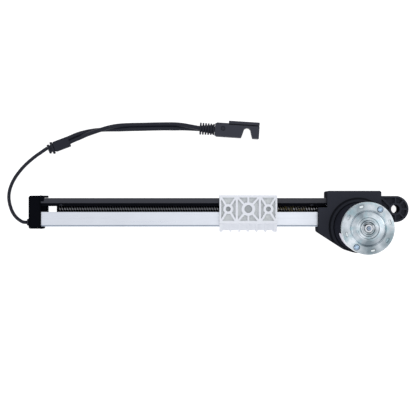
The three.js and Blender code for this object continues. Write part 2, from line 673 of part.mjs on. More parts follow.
// Each route is the middle line, from the piece it leaves to the piece it meets.
const cableRoute = [
  [-230.9, -17, 10], [-235.3, -16.6, 9.2], [-240, -14.4, 7], [-245.4, -10.2, 4.6], [-249.8, -4.4, 2.9],
  [-252.7, 2.5, 2.35], [-254.4, 9.5, 2.3], [-254.9, 16, 2.3], [-254.1, 23, 2.3], [-251.6, 31, 2.3],
  [-247.6, 39, 2.3], [-242.3, 46.7, 2.3], [-235.5, 54.6, 2.3], [-227.4, 62.2, 2.3],
  [-220, 68.1, 2.3], [-214.2, 72.1, 2.5], [-209.4, 75.4, 2.9], [-205.5, 78, 3.2],
];
const leadRoute = [
  [-177.2, 88.4], [-171.4, 91], [-165.4, 93.4], [-155.6, 96.7], [-145.3, 99.4], [-135.1, 101.5],
  [-124.8, 103.1], [-114.6, 104.1], [-99.2, 104.9], [-83.9, 105.2], [-68.5, 105.6], [-53.1, 105.8],
  [-42.9, 105.7], [-32.6, 105.2], [-22.4, 104], [-16.6, 103.3], [-11.5, 102.7],
];
const leadSpread = [
  2.75, 2.75, 2.75, 2.1, 1.2, 0, -1.4, -2.4, -2.75, -2.75, -2.75, -2.75, -2.75, -2.1, -1.3, -0.9, -0.5,
];
const overHeight = [3.2, 3, 3.4, 6.6, 8.1, 8.5, 7.8, 5.6, 3, 2.8, 2.8, 2.8, 3.4, 6.6, 9.2, 10.2, 10.4];
const underHeight = [3.2, 2.9, 2.8, 2.8, 2.8, 2.8, 2.8, 2.8, 2.8, 2.8, 2.8, 2.8, 2.8, 2.8, 4, 4.6, 4.8];

function spreadRoute(side, heights) {
  return leadRoute.map(([x, y], i) => {
    const before = leadRoute[Math.max(i - 1, 0)];
    const after = leadRoute[Math.min(i + 1, leadRoute.length - 1)];
    const along = new THREE.Vector2(after[0] - before[0], after[1] - before[1]).normalize();
    const spread = leadSpread[i] * side;
    return [x + along.y * spread, y - along.x * spread, heights[i]];
  });
}

function cord(route, radius, steps) {
  const points = route.map((point) => new THREE.Vector3(...point));
  const path = new THREE.CatmullRomCurve3(points, false, 'centripetal');
  const section = new THREE.Shape(arc([0, 0], radius, 22.5, 382.5, cable.sides).slice(0, -1));
  return solidOf(new THREE.ExtrudeGeometry(section, { steps, extrudePath: path, bevelEnabled: false }));
}

// A flat block where the cable divides, with a collar and two flanges on the cable's side.
function makeSplitter() {
  const { left, block: blockLeft, right } = splitter;
  const { low, high } = splitterBlock;
  const { radius, height } = splitterCore;
  const body = bar('z', outline([
    [blockLeft, low, 1.4], [right, low, 0.8], [right, high, 0.8], [blockLeft, high, 1.4],
  ], 3), [0, 2 * height]);
  const collar = rod('x', radius, [left, blockLeft + overcut], [0, height], 16);
  const flanges = splitterRings.map((flange) => bar('x', outline([
    [flange.low, 0, 1.5], [flange.high, 0, 1.5], [flange.high, 2 * height, 1.5],
    [flange.low, 2 * height, 1.5],
  ], 3), [flange.left, flange.left + flange.width]));
  return join([body, collar, ...flanges]);
}

function makePlug() {
  const { length, half, thickness } = plug;
  const notch = { middle: 41.2, radius: 4.6, level: -0.4, flare: 2.8 };
  const ridge = { left: 17.4, back: 3 };
  const dimple = { x: 10.4, y: 1.6, radius: 2.6, depth: 0.8 };
  const body = bar('z', outline([
    [0, -half + 1.6, 0.6], [2.6, -half, 1], [length, -half, 1], [length, half, 0.6],
    [2.6, half, 1], [0, half - 1.6, 0.6],
  ], 3), [0, thickness]);
  const ridgeBar = block([ridge.left, length], [half - overcut, plug.ridge],
    [ridge.back, thickness - ridge.back]);
  const notchCut = bar('z', [
    ...arc([notch.middle, notch.level], notch.radius, 0, 180, 14),
    new THREE.Vector2(notch.middle - notch.radius - notch.flare, -half - overcut),
    new THREE.Vector2(notch.middle + notch.radius + notch.flare, -half - overcut),
  ], past([0, thickness]));
  const dimpleCut = rod('z', dimple.radius, [thickness - dimple.depth, thickness + overcut],
    [dimple.x, dimple.y], 24);
  return cut(body.add(ridgeBar), [notchCut, dimpleCut]);
}

// The plug's strain relief: a core with six oval discs.
function makeBoot() {
  const { length, core, ringHalf, ringHeight, rings, ringWidth } = boot;
  const pitch = (length - ringWidth) / (rings - 1);
  const height = plug.thickness / 2;
  const oval = arc([0, 0], 1, 0, 360, 16).slice(0, -1)
    .map((point) => new THREE.Vector2(point.x * ringHalf, point.y * ringHeight + height));
  const discs = Array.from({ length: rings }, (_, i) => {
    const start = -gap - length + i * pitch;
    return bar('x', oval, [start, start + ringWidth]);
  });
  return join([rod('x', core, [-gap - length, -gap], [0, height], 12), ...discs]);
}

// ---------------------------------------------------------------- the assembly

const railGroup = groupAt([0, 0, 0], [
  piece('rail', makeRail(), aluminium),
  piece('cover_strip', makeCoverStrip(), slatePlastic),
  piece('end_cap', makeEndCap(), blackPlastic),
  piece('cable_gland', makeGland(), blackRubber),
  ...endCapScrews.map((place, i) => piece(`end_cap_screw_${i + 1}`,
    zScrew(place, capScrew, capScrew.headFoot, rail.back - gap), steel)),
  piece('duct_cable', rod('x', ductCable.radius, [cap.right + 1, rail.right],
    [ductCable.y, ductCable.height], 12), blackRubber),
  piece('limit_switch_retract', makeSwitchBody(leverStart.retract, -1), carbon),
  piece('limit_switch_extend', makeSwitchBody(leverStart.extend, 1), carbon),
  piece('switch_lever_retract', makeLever(leverStart.retract), slatePlastic),
  piece('switch_lever_extend', makeLever(leverStart.extend), slatePlastic),
]);

const gearboxGroup = groupAt([0, 0, 0], [
  piece('gearbox_housing', makeHousing(), slatePlastic),
  piece('gearbox_back_cover', makeBackCover(), blackPlastic),
  ...coverScrews.map((place, i) => piece(`back_cover_screw_${i + 1}`,
    zScrew(place, coverScrew, gap, coverScrew.headTop), steel)),
  ...railScrews.map((place, i) => piece(`rail_screw_${i + 1}`,
    zScrew(place, railScrew, gap, railScrew.headTop), steel)),
]);

const screwGroup = groupAt([0, 0, screw.height], [
  piece('lead_screw', makeLeadScrew(), darkSteel),
  piece('screw_end_bush', makeEndBush(), blackPlastic),
  piece('worm_wheel', makeWormWheel(), nylonGear),
  piece('screw_bearing_front', bearing([168, 177.5]), steel),
  piece('screw_bearing_rear', bearing([195.6, 204.5]), steel),
]);

const motorGroup = groupAt([motor.x, motor.y, 0], [
  piece('worm_tail_bush', tube('z', 5.5, shaft.wormRadius + gap, [2.5, 8.5], [0, 0], 24), bronze),
  piece('worm', makeWorm(), steel),
  piece('motor_shaft', makeMotorShaft(), steel),
  piece('motor_front_bush', tube('z', 6.3, shaft.radius + gap, [39, 49.5], [0, 0], 24), bronze),
  piece('motor_can', makeMotorCan(), zinc),
  piece('motor_sleeve', makeMotorSleeve(), blackPlastic),
  piece('motor_end_cap', makeMotorEndCap(), zinc),
  piece('motor_rear_bush', tube('z', 4.5, shaft.radius + gap, [134, 141], [0, 0], 24), steel),
  piece('magnet_1', makeMagnet(148), ferrite),
  piece('magnet_2', makeMagnet(328), ferrite),
  piece('armature', makeArmature(), copper),
  piece('commutator', makeCommutator(), copper),
  piece('brush_card', makeBrushCard(), boardGreen),
  piece('brush_1', makeBrush(1), carbon),
  piece('brush_2', makeBrush(-1), carbon),
  ...boltPlaces.map((place, i) => piece(`motor_bolt_${i + 1}`, makeThroughBolt(place), zinc)),
]);

const carriageGroup = groupAt([carriage.x, 0, 0], [
  piece('carriage', makeCarriage(), whiteNylon),
  piece('spindle_nut', makeNut(), whiteNylon),
]);

const splitterGroup = groupAt([splitter.x, splitter.y, 0], [
  piece('cable_splitter', makeSplitter(), blackPlastic),
]);
splitterGroup.rotation.z = THREE.MathUtils.degToRad(splitter.turn);

const plugGroup = groupAt([plug.x, plug.y, 0], [
  piece('plug_body', makePlug(), blackPlastic),
  piece('plug_boot', makeBoot(), blackRubber),
]);
plugGroup.rotation.z = THREE.MathUtils.degToRad(plug.turn);

const cordGroup = groupAt([0, 0, 0], [
  piece('cable', cord(cableRoute, cable.radius, 24), blackRubber),
  piece('lead_1', cord(spreadRoute(1, overHeight), cable.lead, 28), blackRubber),
  piece('lead_2', cord(spreadRoute(-1, underHeight), cable.lead, 28), blackRubber),
  splitterGroup, plugGroup,
]);

// The origin is under the middle of the actuator, without its cable.
const middle = new THREE.Vector3(
  (gland.left + eye.x + eye.radius) / 2, (housing.top + motor.y - housing.arc) / 2, 0);

const actuator = new THREE.Group();
actuator.add(railGroup, gearboxGroup, screwGroup, motorGroup, carriageGroup, cordGroup);
actuator.position.copy(middle).negate();

export default actuator;
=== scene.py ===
import json
import math

import bmesh
import bpy
from mathutils import Matrix, Vector


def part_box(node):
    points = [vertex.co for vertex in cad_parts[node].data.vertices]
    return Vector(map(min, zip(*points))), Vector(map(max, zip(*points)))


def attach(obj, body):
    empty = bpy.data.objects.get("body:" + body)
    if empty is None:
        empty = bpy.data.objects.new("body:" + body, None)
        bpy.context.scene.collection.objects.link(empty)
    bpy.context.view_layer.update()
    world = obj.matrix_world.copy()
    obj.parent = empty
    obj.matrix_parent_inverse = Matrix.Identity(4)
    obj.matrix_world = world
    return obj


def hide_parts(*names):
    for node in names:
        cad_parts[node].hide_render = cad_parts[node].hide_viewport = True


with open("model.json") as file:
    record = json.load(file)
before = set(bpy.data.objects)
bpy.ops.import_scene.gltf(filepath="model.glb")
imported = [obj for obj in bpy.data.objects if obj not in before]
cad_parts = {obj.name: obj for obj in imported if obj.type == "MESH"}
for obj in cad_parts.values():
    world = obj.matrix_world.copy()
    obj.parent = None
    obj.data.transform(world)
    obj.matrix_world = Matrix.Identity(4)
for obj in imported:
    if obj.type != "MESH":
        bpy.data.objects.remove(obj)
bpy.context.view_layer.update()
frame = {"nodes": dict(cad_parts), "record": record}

# Rail-type linear actuator: the looks. Pieces are drawn in millimetres in the actuator's own
# coordinates, with X along the rail, Y = 0 on the screw's line and Z = 0 on the floor, and are
# put into the frame at the end.

MM = 0.001
GAP = 0.3


def row_box(node):
    """A node's box at rest, in millimetres in the row frame."""
    low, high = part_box(node)
    return Vector(low) / MM, Vector(high) / MM


def row_middle(node):
    low, high = row_box(node)
    return (low + high) / 2


RAIL_END = 165.0
screw_middle = row_middle("lead_screw")
origin = Vector((row_box("rail")[1].x - RAIL_END, screw_middle.y, 0.0))


def span(node):
    """A node's box at rest, in the actuator's own coordinates."""
    return [corner - origin for corner in row_box(node)]


SCREW_Z = screw_middle.z
MOTOR = row_middle("motor_sleeve") - origin
CARRIAGE_X = row_middle("carriage").x - origin.x
RAIL_LOW, RAIL_HIGH = span("rail")
COVER_LOW, COVER_HIGH = span("cover_strip")
HOUSING_LOW = span("gearbox_housing")[0]
LEVERS = [span(f"switch_lever_{end}")[0].x for end in ("retract", "extend")]


# ---- shader nodes

def set_inputs(tree, node, inputs):
    """Give each input a number, a vector or a colour, or link another node's output to it."""
    for name, value in inputs.items():
        socket = node.inputs[name]
        if isinstance(value, bpy.types.NodeSocket):
            tree.links.new(value, socket)
        else:
            socket.default_value = (*value, 1) if socket.type == "RGBA" else value


def add_node(tree, kind, inputs, **properties):
    node = tree.nodes.new("ShaderNode" + kind)
    for name, value in properties.items():
        setattr(node, name, value)
    set_inputs(tree, node, inputs)
    return node


def new_material(name, color, roughness, metallic=0.0, specular=0.5):
    material = bpy.data.materials.new(name)
    material.use_nodes = True
    tree = material.node_tree
    shader = tree.nodes["Principled BSDF"]
    set_inputs(tree, shader, {
        "Base Color": color, "Roughness": roughness, "Metallic": metallic, "Specular IOR Level": specular,
    })
    return material, tree, shader


def own_axes(tree, space="Object"):
    """The place in the piece's own coordinates, in metres, or the normal there, as X, Y and Z."""
    place = add_node(tree, "TexCoord", {})
    return add_node(tree, "SeparateXYZ", {"Vector": place.outputs[space]}).outputs


# ---- camera, floor and lights

CAMERA_HEIGHT = 1.5
CAMERA_OVER = Vector((0.0, 1.3, 0.0))  # the point straight below it, in actuator coordinates
CAMERA_LENS = 101.25
SENSOR_WIDTH = 36.0


def make_camera():
    data = bpy.data.cameras.new("camera")
    data.lens = CAMERA_LENS
    data.sensor_width = SENSOR_WIDTH
    camera = bpy.data.objects.new("camera", data)
    below = (CAMERA_OVER + origin) * MM
    camera.location = (below.x, below.y, CAMERA_HEIGHT)
    bpy.context.scene.collection.objects.link(camera)
    bpy.context.scene.camera = camera


def make_floor():
    """A light table: it glows enough to stay white where the actuator stands over it."""
    bpy.ops.mesh.primitive_plane_add(size=12, location=(0, 0, 0))
    floor = bpy.context.object
    floor.name = "floor"
    material, tree, shader = new_material("floor", (0.4, 0.4, 0.4), 0.9, specular=0)
    set_inputs(tree, shader, {"Emission Color": (1, 1, 1), "Emission Strength": 0.92})
    floor.data.materials.append(material)


def make_light(name, location, size, power):
    """A soft light that looks at the origin."""
    data = bpy.data.lights.new(name, "AREA")
    data.shape = "RECTANGLE"
    data.size, data.size_y = size
    data.energy = power
    light = bpy.data.objects.new(name, data)
    light.location = location
    light.rotation_euler = (-Vector(location)).to_track_quat("-Z", "Y").to_euler()
    bpy.context.scene.collection.objects.link(light)


def make_world(strength):
    """A white sky that falls off to a cool grey at the horizon."""
    world = bpy.data.worlds.new("studio")
    world.use_nodes = True
    tree = world.node_tree
    ramp = add_node(tree, "ValToRGB", {"Fac": own_axes(tree, "Generated")["Z"]})
    ramp.color_ramp.elements[0].color = (0.32, 0.36, 0.44, 1)
    ramp.color_ramp.elements[1].position = 0.55
    ramp.color_ramp.elements[1].color = (0.93, 0.95, 1, 1)
    set_inputs(tree, tree.nodes["Background"], {"Color": ramp.outputs["Color"], "Strength": strength})
    bpy.context.scene.world = world


bpy.context.scene.view_settings.view_transform = "Standard"
make_camera()
make_floor()
make_world(0.86)
make_light("overhead", (0.9, 0.2, 2.6), (1.6, 1.6), 4)
make_light("left", (-1.9, -0.3, 1.1), (1.2, 1.2), 4)
make_light("right", (1.8, 0.7, 1.3), (0.8, 1.4), 4)


# ---- drawing kit, in millimetres

def arc(centre, radius, start, end, steps):
    turns = [math.radians(start + (end - start) * i / steps) for i in range(steps + 1)]
    return [(centre[0] + radius * math.cos(a), centre[1] + radius * math.sin(a)) for a in turns]


def outline(corners, steps=6):
    """Corners are (x, y) or (x, y, radius); a corner with a radius becomes an arc."""
    points = []
    for i, corner in enumerate(corners):
        here = Vector(corner[:2])
        if len(corner) == 2:
            points.append(tuple(here))
            continue
        radius = corner[2]
        before = (Vector(corners[i - 1][:2]) - here).normalized()
        after = (Vector(corners[(i + 1) % len(corners)][:2]) - here).normalized()
        half = before.angle(after) / 2
        centre = here + (before + after).normalized() * (radius / math.sin(half))
        start = here + before * (radius / math.tan(half)) - centre
        end = here + after * (radius / math.tan(half)) - centre
        sweep = math.atan2(start.x * end.y - start.y * end.x, start.dot(end))
        first = math.atan2(start.y, start.x)
        for step in range(steps + 1):
            angle = first + sweep * step / steps
            points.append((centre.x + radius * math.cos(angle), centre.y + radius * math.sin(angle)))
    return points


def rounded(x, y, radius, steps=6):
    """The outline of a rectangle with round corners."""
    corners = [(x[0], y[0]), (x[1], y[0]), (x[1], y[1]), (x[0], y[1])]
    return outline([(*corner, radius) for corner in corners], steps)


SAME_POINT, SAME_CORNER = 1e-4, 1e-3  # points this near are one, in a first shape and in a piece


def shape_from(verts, faces):
    mesh = bpy.data.meshes.new("shape")
    mesh.from_pydata(verts, [], faces)
    mesh.validate()
    bm = bmesh.new()
    bm.from_mesh(mesh)
    bmesh.ops.remove_doubles(bm, verts=bm.verts, dist=SAME_POINT)
    bmesh.ops.recalc_face_normals(bm, faces=bm.faces)
    bm.to_mesh(mesh)
    bm.free()
    shape = bpy.data.objects.new("shape", mesh)
    bpy.context.scene.collection.objects.link(shape)
    return shape


AXES = {
    "z": lambda u, v, w: (u, v, w),
    "x": lambda u, v, w: (w, u, v),
    "y": lambda u, v, w: (v, w, u),
}


def prism(points, low, high, axis="z"):
    """An outline drawn across the axis and extruded from one place on it to another."""
    turn = AXES[axis]
    count = len(points)
    verts = [turn(u, v, low) for u, v in points] + [turn(u, v, high) for u, v in points]
    sides = [(i, (i + 1) % count, (i + 1) % count + count, i + count) for i in range(count)]
    caps = [tuple(reversed(range(count))), tuple(range(count, 2 * count))]
    return shape_from(verts, sides + caps)


def block(x, y, z):
    return prism([(x[0], y[0]), (x[1], y[0]), (x[1], y[1]), (x[0], y[1])], *z)


def rod(axis, radius, ends, centre=(0, 0), sides=64):
    return prism(arc(centre, radius, 0, 360, sides)[:-1], *ends, axis)


def rods(radius, ends, places, sides=24):
    """An upright rod at each place."""
    return [rod("z", radius, ends, place, sides) for place in places]


def turned(profile, centre=(0, 0), sides=128):
    """A closed profile of (radius, height) corners, turned about an upright axis."""
    count = len(profile)
    verts = []
    for i in range(sides):
        angle = 2 * math.pi * i / sides
        for radius, height in profile:
            verts.append((centre[0] + radius * math.cos(angle), centre[1] + radius * math.sin(angle), height))
    faces = []
    for i in range(sides):
        near, far = i * count, (i + 1) % sides * count
        for j in range(count):
            k = (j + 1) % count
            faces.append((near + j, far + j, far + k, near + k))
    return shape_from(verts, faces)


def tube(outer, inner, low, high, centre, sides=96):
    return turned([(inner, low), (outer, low), (outer, high), (inner, high)], centre, sides)


def evaluated(shape):
    graph = bpy.context.evaluated_depsgraph_get()
    return bpy.data.meshes.new_from_object(shape.evaluated_get(graph))


def drop(shapes):
    for shape in shapes:
        mesh = shape.data
        bpy.data.objects.remove(shape)
        bpy.data.meshes.remove(mesh)


def combined(base, others, operation):
    for other in others:
        step = base.modifiers.new(operation, "BOOLEAN")
        step.object = other
        step.operation = operation
        step.solver = "MANIFOLD"
    mesh = evaluated(base)
    drop([base, *others])
    shape = bpy.data.objects.new("shape", mesh)
    bpy.context.scene.collection.objects.link(shape)
    return shape


def joined(base, *others):
    return combined(base, others, "UNION")


def cut(base, *others):
    return combined(base, others, "DIFFERENCE")


def common(base, *others):
    return combined(base, others, "INTERSECT")


def turn_about(shape, degrees, centre=(0, 0)):
    about = Vector((centre[0], centre[1], 0))
    spin = Matrix.Rotation(math.radians(degrees), 4, "Z")
    shape.data.transform(Matrix.Translation(about) @ spin @ Matrix.Translation(-about))
    return shape


def moved(shape, offset):
    shape.data.transform(Matrix.Translation(offset))
    return shape


def piece(name, shape, material, body, replaced=(), edge=0.35, steps=2, sharp=38):
    """Round the sharp edges, put the shape into the frame and let it ride on its body."""
    mesh = shape.data
    bm = bmesh.new()
    bm.from_mesh(mesh)
    bmesh.ops.remove_doubles(bm, verts=bm.verts, dist=SAME_CORNER)
    bmesh.ops.dissolve_degenerate(bm, dist=SAME_CORNER, edges=bm.edges)
    bmesh.ops.recalc_face_normals(bm, faces=bm.faces)
    bm.to_mesh(mesh)
    bm.free()
    mesh.polygons.foreach_set("use_smooth", [True] * len(mesh.polygons))
    if edge:
        bevel = shape.modifiers.new("edge", "BEVEL")
        bevel.width = edge
        bevel.segments = steps
        bevel.limit_method = "ANGLE"
        bevel.angle_limit = math.radians(sharp)
        bevel.use_clamp_overlap = False
    else:
        mesh.set_sharp_from_angle(angle=math.radians(sharp))
    shape.modifiers.new("normals", "WEIGHTED_NORMAL").keep_sharp = True
    made_mesh = evaluated(shape)
    drop([shape])
    made_mesh.transform(Matrix.Scale(MM, 4) @ Matrix.Translation(origin))
    made_mesh.materials.clear()
    made_mesh.materials.append(material)
    made_mesh.name = name
    made = bpy.data.objects.new(name, made_mesh)
    bpy.context.scene.collection.objects.link(made)
    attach(made, body)
    if replaced:
        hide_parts(*replaced)
    return made


# ---- materials

CAP_RADIUS = 30.8
CAP_PAINTED_SHADES = [  # painted shade in the grooves and painted light on the rings and rim: distance from the axis in mm, and how much of the colour is left
    (4.9, 0.95), (5.2, 0.65), (7.1, 0.65), (7.5, 0.88), (9.1, 0.85), (9.5, 0.85), (12.2, 0.9), (12.6, 1),
    (14.7, 1), (15.1, 0.9), (15.5, 1), (20.2, 1), (21.3, 0.95), (21.7, 0.8), (29.4, 0.78), (29.7, 1),
]
CAP_EDGE = (29.7, 30.2)  # here the cap turns from shiny to dull, so that the rim shows its bright colour as a painted highlight
CAP_PAINTED_SHEEN_FANS = [(2, 0.6, 0.16), (5, 0, 0.1)]  # painted reflection sectors, as waves round the axis: how many, where from, how strong
RING_TURN = 9000.0  # radians in a metre, which is a tool mark every 0.7 mm
HOUSING_REACH = (30.0, 40.0)
HOUSING_PAINTED_SHADES = [  # painted shade in the grooves round the motor's seat and along its foot, as for the cap, within the reach
    (31.2, 0.12), (31.6, 0.75), (34.2, 0.75), (34.8, 0.3), (36.4, 0.3), (37.2, 1),
]
# how much of the colour is left on the housing's upright faces, painted darker as shade
WALL_PAINTED_SHADE = 0.55
GREASE_START, GREASE_END = (82.0, 90.0), (113.0, 131.0)
THREAD_SHADE_FLANK = (5.2, 5.8)  # radii between which the thread turns from painted shade in its root to bright steel on its crest
# heights of the pocket floors and of the hole floors, and the painted shade colour on each
POCKET_PAINTED_SHADE = [((40.4, 42.5), (0.76, 0.78, 0.77)), ((39.5, 40.1), (0.56, 0.58, 0.58))]
POCKET_EDGE = (-17.0, -16.0)  # below the pockets the carriage gets no painted shade


def noise(tree, scale, detail, stretch=(1, 1, 1)):
    """Noise in the piece's own coordinates, in metres, drawn out along an axis by stretch."""
    place = add_node(tree, "TexCoord", {}).outputs["Object"]
    mapping = add_node(tree, "Mapping", {"Vector": place, "Scale": stretch})
    inputs = {"Vector": mapping.outputs["Vector"], "Scale": scale, "Detail": detail}
    return add_node(tree, "TexNoise", inputs).outputs["Fac"]


def math_node(tree, operation, *values):
    return add_node(tree, "Math", dict(enumerate(values)), operation=operation).outputs["Value"]


def spread(tree, source, low, high, to_low, to_high):
    """Map a value from one range to another."""
    inputs = {"Value": source, "From Min": low, "From Max": high, "To Min": to_low, "To Max": to_high}
    return add_node(tree, "MapRange", inputs).outputs["Result"]


def fade(tree, source, limits, to_low, to_high, zero=0.0):
    """Map a length in metres to another range, between two limits in millimetres from zero."""
    low, high = ((limit + zero) * MM for limit in limits)
    return spread(tree, source, low, high, to_low, to_high)


def tint(tree, factor, first, second, blend="MIX"):
    inputs = {"Factor": factor, "A": first, "B": second}
    return add_node(tree, "Mix", inputs, data_type="RGBA", blend_type=blend).outputs["Result"]


def relief(tree, shader, source, strength, depth):
    bump = add_node(tree, "Bump", {"Strength": strength, "Distance": depth, "Height": source})
    set_inputs(tree, shader, {"Normal": bump.outputs["Normal"]})


def moulded(name, color, roughness, grain=0.25, specular=0.5, vary=0.12):
    """Moulded plastic or rubber: fine spark grain, faint clouds in the colour and in the gloss."""
    material, tree, shader = new_material(name, color, roughness, specular=specular)
    clouds = noise(tree, 60, 4)
    darker = [c * (1 - vary) for c in color]
    lighter = [min(1, c * (1 + vary)) for c in color]
    set_inputs(tree, shader, {
        "Base Color": tint(tree, clouds, darker, lighter),
        "Roughness": spread(tree, clouds, 0.3, 0.7, roughness - 0.05, roughness + 0.07),
    })
    relief(tree, shader, noise(tree, 2600, 2), grain, 0.00006)
    return material


def drawn_metal(name, color, roughness, stretch, lines=0.15, tinted=None):
    """Metal with lines along one axis, from extrusion, rolling or turning."""
    material, tree, shader = new_material(name, color, roughness, metallic=1.0)
    streaks = noise(tree, 900, 3, stretch)
    second = tinted or [c * 0.93 for c in color]
    set_inputs(tree, shader, {
        "Base Color": tint(tree, noise(tree, 45, 3), color, second),
        "Roughness": spread(tree, streaks, 0.3, 0.7, roughness - 0.06, roughness + 0.1),
    })
    relief(tree, shader, streaks, lines, 0.00003)
    return material


def distance(tree, across, up):
    squares = [math_node(tree, "MULTIPLY", side, side) for side in (across, up)]
    return math_node(tree, "SQRT", math_node(tree, "ADD", *squares))


def from_motor_axis(tree):
    """Distance from the motor's axis and the turn about it, in metres and radians."""
    place = own_axes(tree)
    centre = (MOTOR + origin) * MM
    x = math_node(tree, "SUBTRACT", place["X"], centre.x)
    y = math_node(tree, "SUBTRACT", place["Y"], centre.y)
    return distance(tree, x, y), math_node(tree, "ARCTAN2", y, x)


def painted_ring_shades(tree, radius, reach, inmost, stops, blue=1.0):
    """Painted shade and light by distance, from the stops within the reach; blue tints them a little."""
    low, high = reach
    ramp = add_node(tree, "ValToRGB", {"Fac": fade(tree, radius, reach, 0, 1)})
    ramp.color_ramp.elements[0].color = (inmost, inmost, inmost, 1)
    ramp.color_ramp.elements[1].color = (1, 1, 1, 1)
    for place, shade in stops:
        stop = ramp.color_ramp.elements.new((place - low) / (high - low))
        stop.color = (shade, shade, shade * blue, 1)
    return ramp.outputs["Color"]


def base_color(material):
    """What feeds a material's base colour, and the socket that it feeds."""
    socket = material.node_tree.nodes["Principled BSDF"].inputs["Base Color"]
    return socket.links[0].from_socket, socket


def plated_metal():
    """Bright zinc plate over turned steel: fine rings from the tool, broad sectors of painted reflection,
    lighter and darker, clouds of blue-green passivation, and painted shade and light ring by ring from the
    axis."""
    material, tree, shader = new_material("plated_zinc", (0.6, 0.66, 0.68), 0.26, metallic=1.0)
    radius, turn = from_motor_axis(tree)
    shade = noise(tree, 70, 4)
    # the fans paint reflections: lighter and darker sectors round the axis, over random clouds of tone
    for count, start, strength in CAP_PAINTED_SHEEN_FANS:
        angle = math_node(tree, "ADD", math_node(tree, "MULTIPLY", turn, count), start)
        painted_sheen_wave = math_node(tree, "SINE", angle)
        shade = math_node(tree, "ADD", shade, math_node(tree, "MULTIPLY", painted_sheen_wave, strength))
    tone_and_painted_sheen = tint(tree, spread(tree, shade, 0.2, 0.85, 0, 1), (0.24, 0.29, 0.31), (0.84, 0.89, 0.9))
    stain = spread(tree, noise(tree, 120, 2), 0.5, 0.72, 0, 0.75)
    stained = tint(tree, stain, tone_and_painted_sheen, (0.38, 0.54, 0.57))
    # painted shade in the cap's grooves, painted light on its rings and rim
    cap_painted_light_and_shade = painted_ring_shades(tree, radius, (0, CAP_RADIUS), 0.9, CAP_PAINTED_SHADES, blue=1.02)
    set_inputs(tree, shader, {
        "Base Color": tint(tree, 1, stained, cap_painted_light_and_shade, "MULTIPLY"),
        "Metallic": fade(tree, radius, CAP_EDGE, 1, 0.15),
    })
    rings = math_node(tree, "SINE", math_node(tree, "MULTIPLY", radius, RING_TURN))
    relief(tree, shader, rings, 0.12, 0.00002)
    return material


def greased_steel():
    """Threaded steel, with painted shade down in the thread, and old yellow grease on the stretch at the
    gearbox.
    """
    material, tree, shader = new_material("screw_steel", (0.22, 0.22, 0.23), 0.36, metallic=1.0)
    place = own_axes(tree)
    rise = fade(tree, place["X"], GREASE_START, 0, 1, origin.x)
    fall = fade(tree, place["X"], GREASE_END, 1, 0, origin.x)
    patches = spread(tree, noise(tree, 260, 3), 0.42, 0.56, 0, 1)
    grease = math_node(tree, "MULTIPLY", math_node(tree, "MULTIPLY", rise, fall), patches)
    across = math_node(tree, "SUBTRACT", place["Y"], origin.y * MM)
    up = math_node(tree, "SUBTRACT", place["Z"], SCREW_Z * MM)
    # the root of the thread is painted near-black, as shade
    crest = fade(tree, distance(tree, across, up), THREAD_SHADE_FLANK, 0, 1)
    bright = tint(tree, grease, (0.26, 0.26, 0.27), (0.15, 0.115, 0.012))
    set_inputs(tree, shader, {
        "Base Color": tint(tree, crest, (0.018, 0.017, 0.017), bright),
        "Metallic": spread(tree, grease, 0, 1, 1, 0),
        "Roughness": spread(tree, grease, 0, 1, 0.22, 0.5),
    })
    return material


def housing_plastic_painted_shade():
    """Slate plastic with painted shade on its upright faces, along the seam of the motor and outside its
    seat.
    """
    material = moulded("housing_plastic_painted_shade", (0.039, 0.041, 0.052), 0.5, 0.3, specular=0)
    tree = material.node_tree
    # painted shade in the grooves round the motor's seat
    seat = painted_ring_shades(tree, from_motor_axis(tree)[0], HOUSING_REACH, HOUSING_PAINTED_SHADES[0][1], HOUSING_PAINTED_SHADES)
    # painted shade on the upright faces
    wall_painted_shade = spread(tree, own_axes(tree, "Normal")["Z"], 0.4, 0.7, WALL_PAINTED_SHADE, 1)
    color, socket = base_color(material)
    for factor in (seat, wall_painted_shade):
        color = tint(tree, 1, color, factor, "MULTIPLY")
    tree.links.new(color, socket)
    return material


def white_nylon():
    """Natural white nylon, painted a little greyer on the floors of the pockets and of the holes, as shade.
    """
    material = moulded("white_nylon", (0.88, 0.89, 0.92), 0.42, 0.2, vary=0.02)
    tree = material.node_tree
    place = own_axes(tree)
    inside = fade(tree, place["Y"], POCKET_EDGE, 0, 1, origin.y)
    color, socket = base_color(material)
    # painted shade on the pocket floors and hole floors
    for heights, painted_floor_shade in POCKET_PAINTED_SHADE:
        amount = math_node(tree, "MULTIPLY", fade(tree, place["Z"], heights, 1, 0), inside)
        color = tint(tree, amount, color, painted_floor_shade)
    tree.links.new(color, socket)
    return material


ALUMINIUM = drawn_metal("anodised_aluminium", (0.82, 0.845, 0.89), 0.32, (0.01, 1, 1), 0.12)
# a darker aluminium, painted on the rail's rounded front edge as shade
ALUMINIUM_PAINTED_EDGE_SHADE = drawn_metal("aluminium_painted_edge_shade", (0.42, 0.47, 0.54), 0.35, (0.01, 1, 1), 0.12)
HOUSING_PAINTED_SHADE_SLATE = housing_plastic_painted_shade()
SLATE = moulded("slate_plastic", (0.026, 0.027, 0.037), 0.5, 0.3, specular=0.02)
COVER_BLACK = moulded("cover_plastic", (0.022, 0.023, 0.033), 0.4, 0.2, specular=0.45)
BLACK = moulded("black_plastic", (0.0045, 0.0048, 0.007), 0.45, 0.25, specular=0)
JACKET = moulded("motor_jacket", (0.0155, 0.0165, 0.023), 0.5, 0.1, specular=0)
PLUG_BLACK = moulded("plug_plastic", (0.034, 0.036, 0.049), 0.5, 0.3, specular=0.25)
RUBBER = moulded("black_rubber", (0.0145, 0.016, 0.025), 0.45, 0.1, specular=0.2)
NYLON = white_nylon()
STEEL = drawn_metal("steel", (0.62, 0.64, 0.66), 0.28, (1, 1, 0.05))
ZINC = drawn_metal("zinc", (0.72, 0.76, 0.78), 0.25, (1, 1, 0.05), 0.1, tinted=(0.66, 0.78, 0.76))
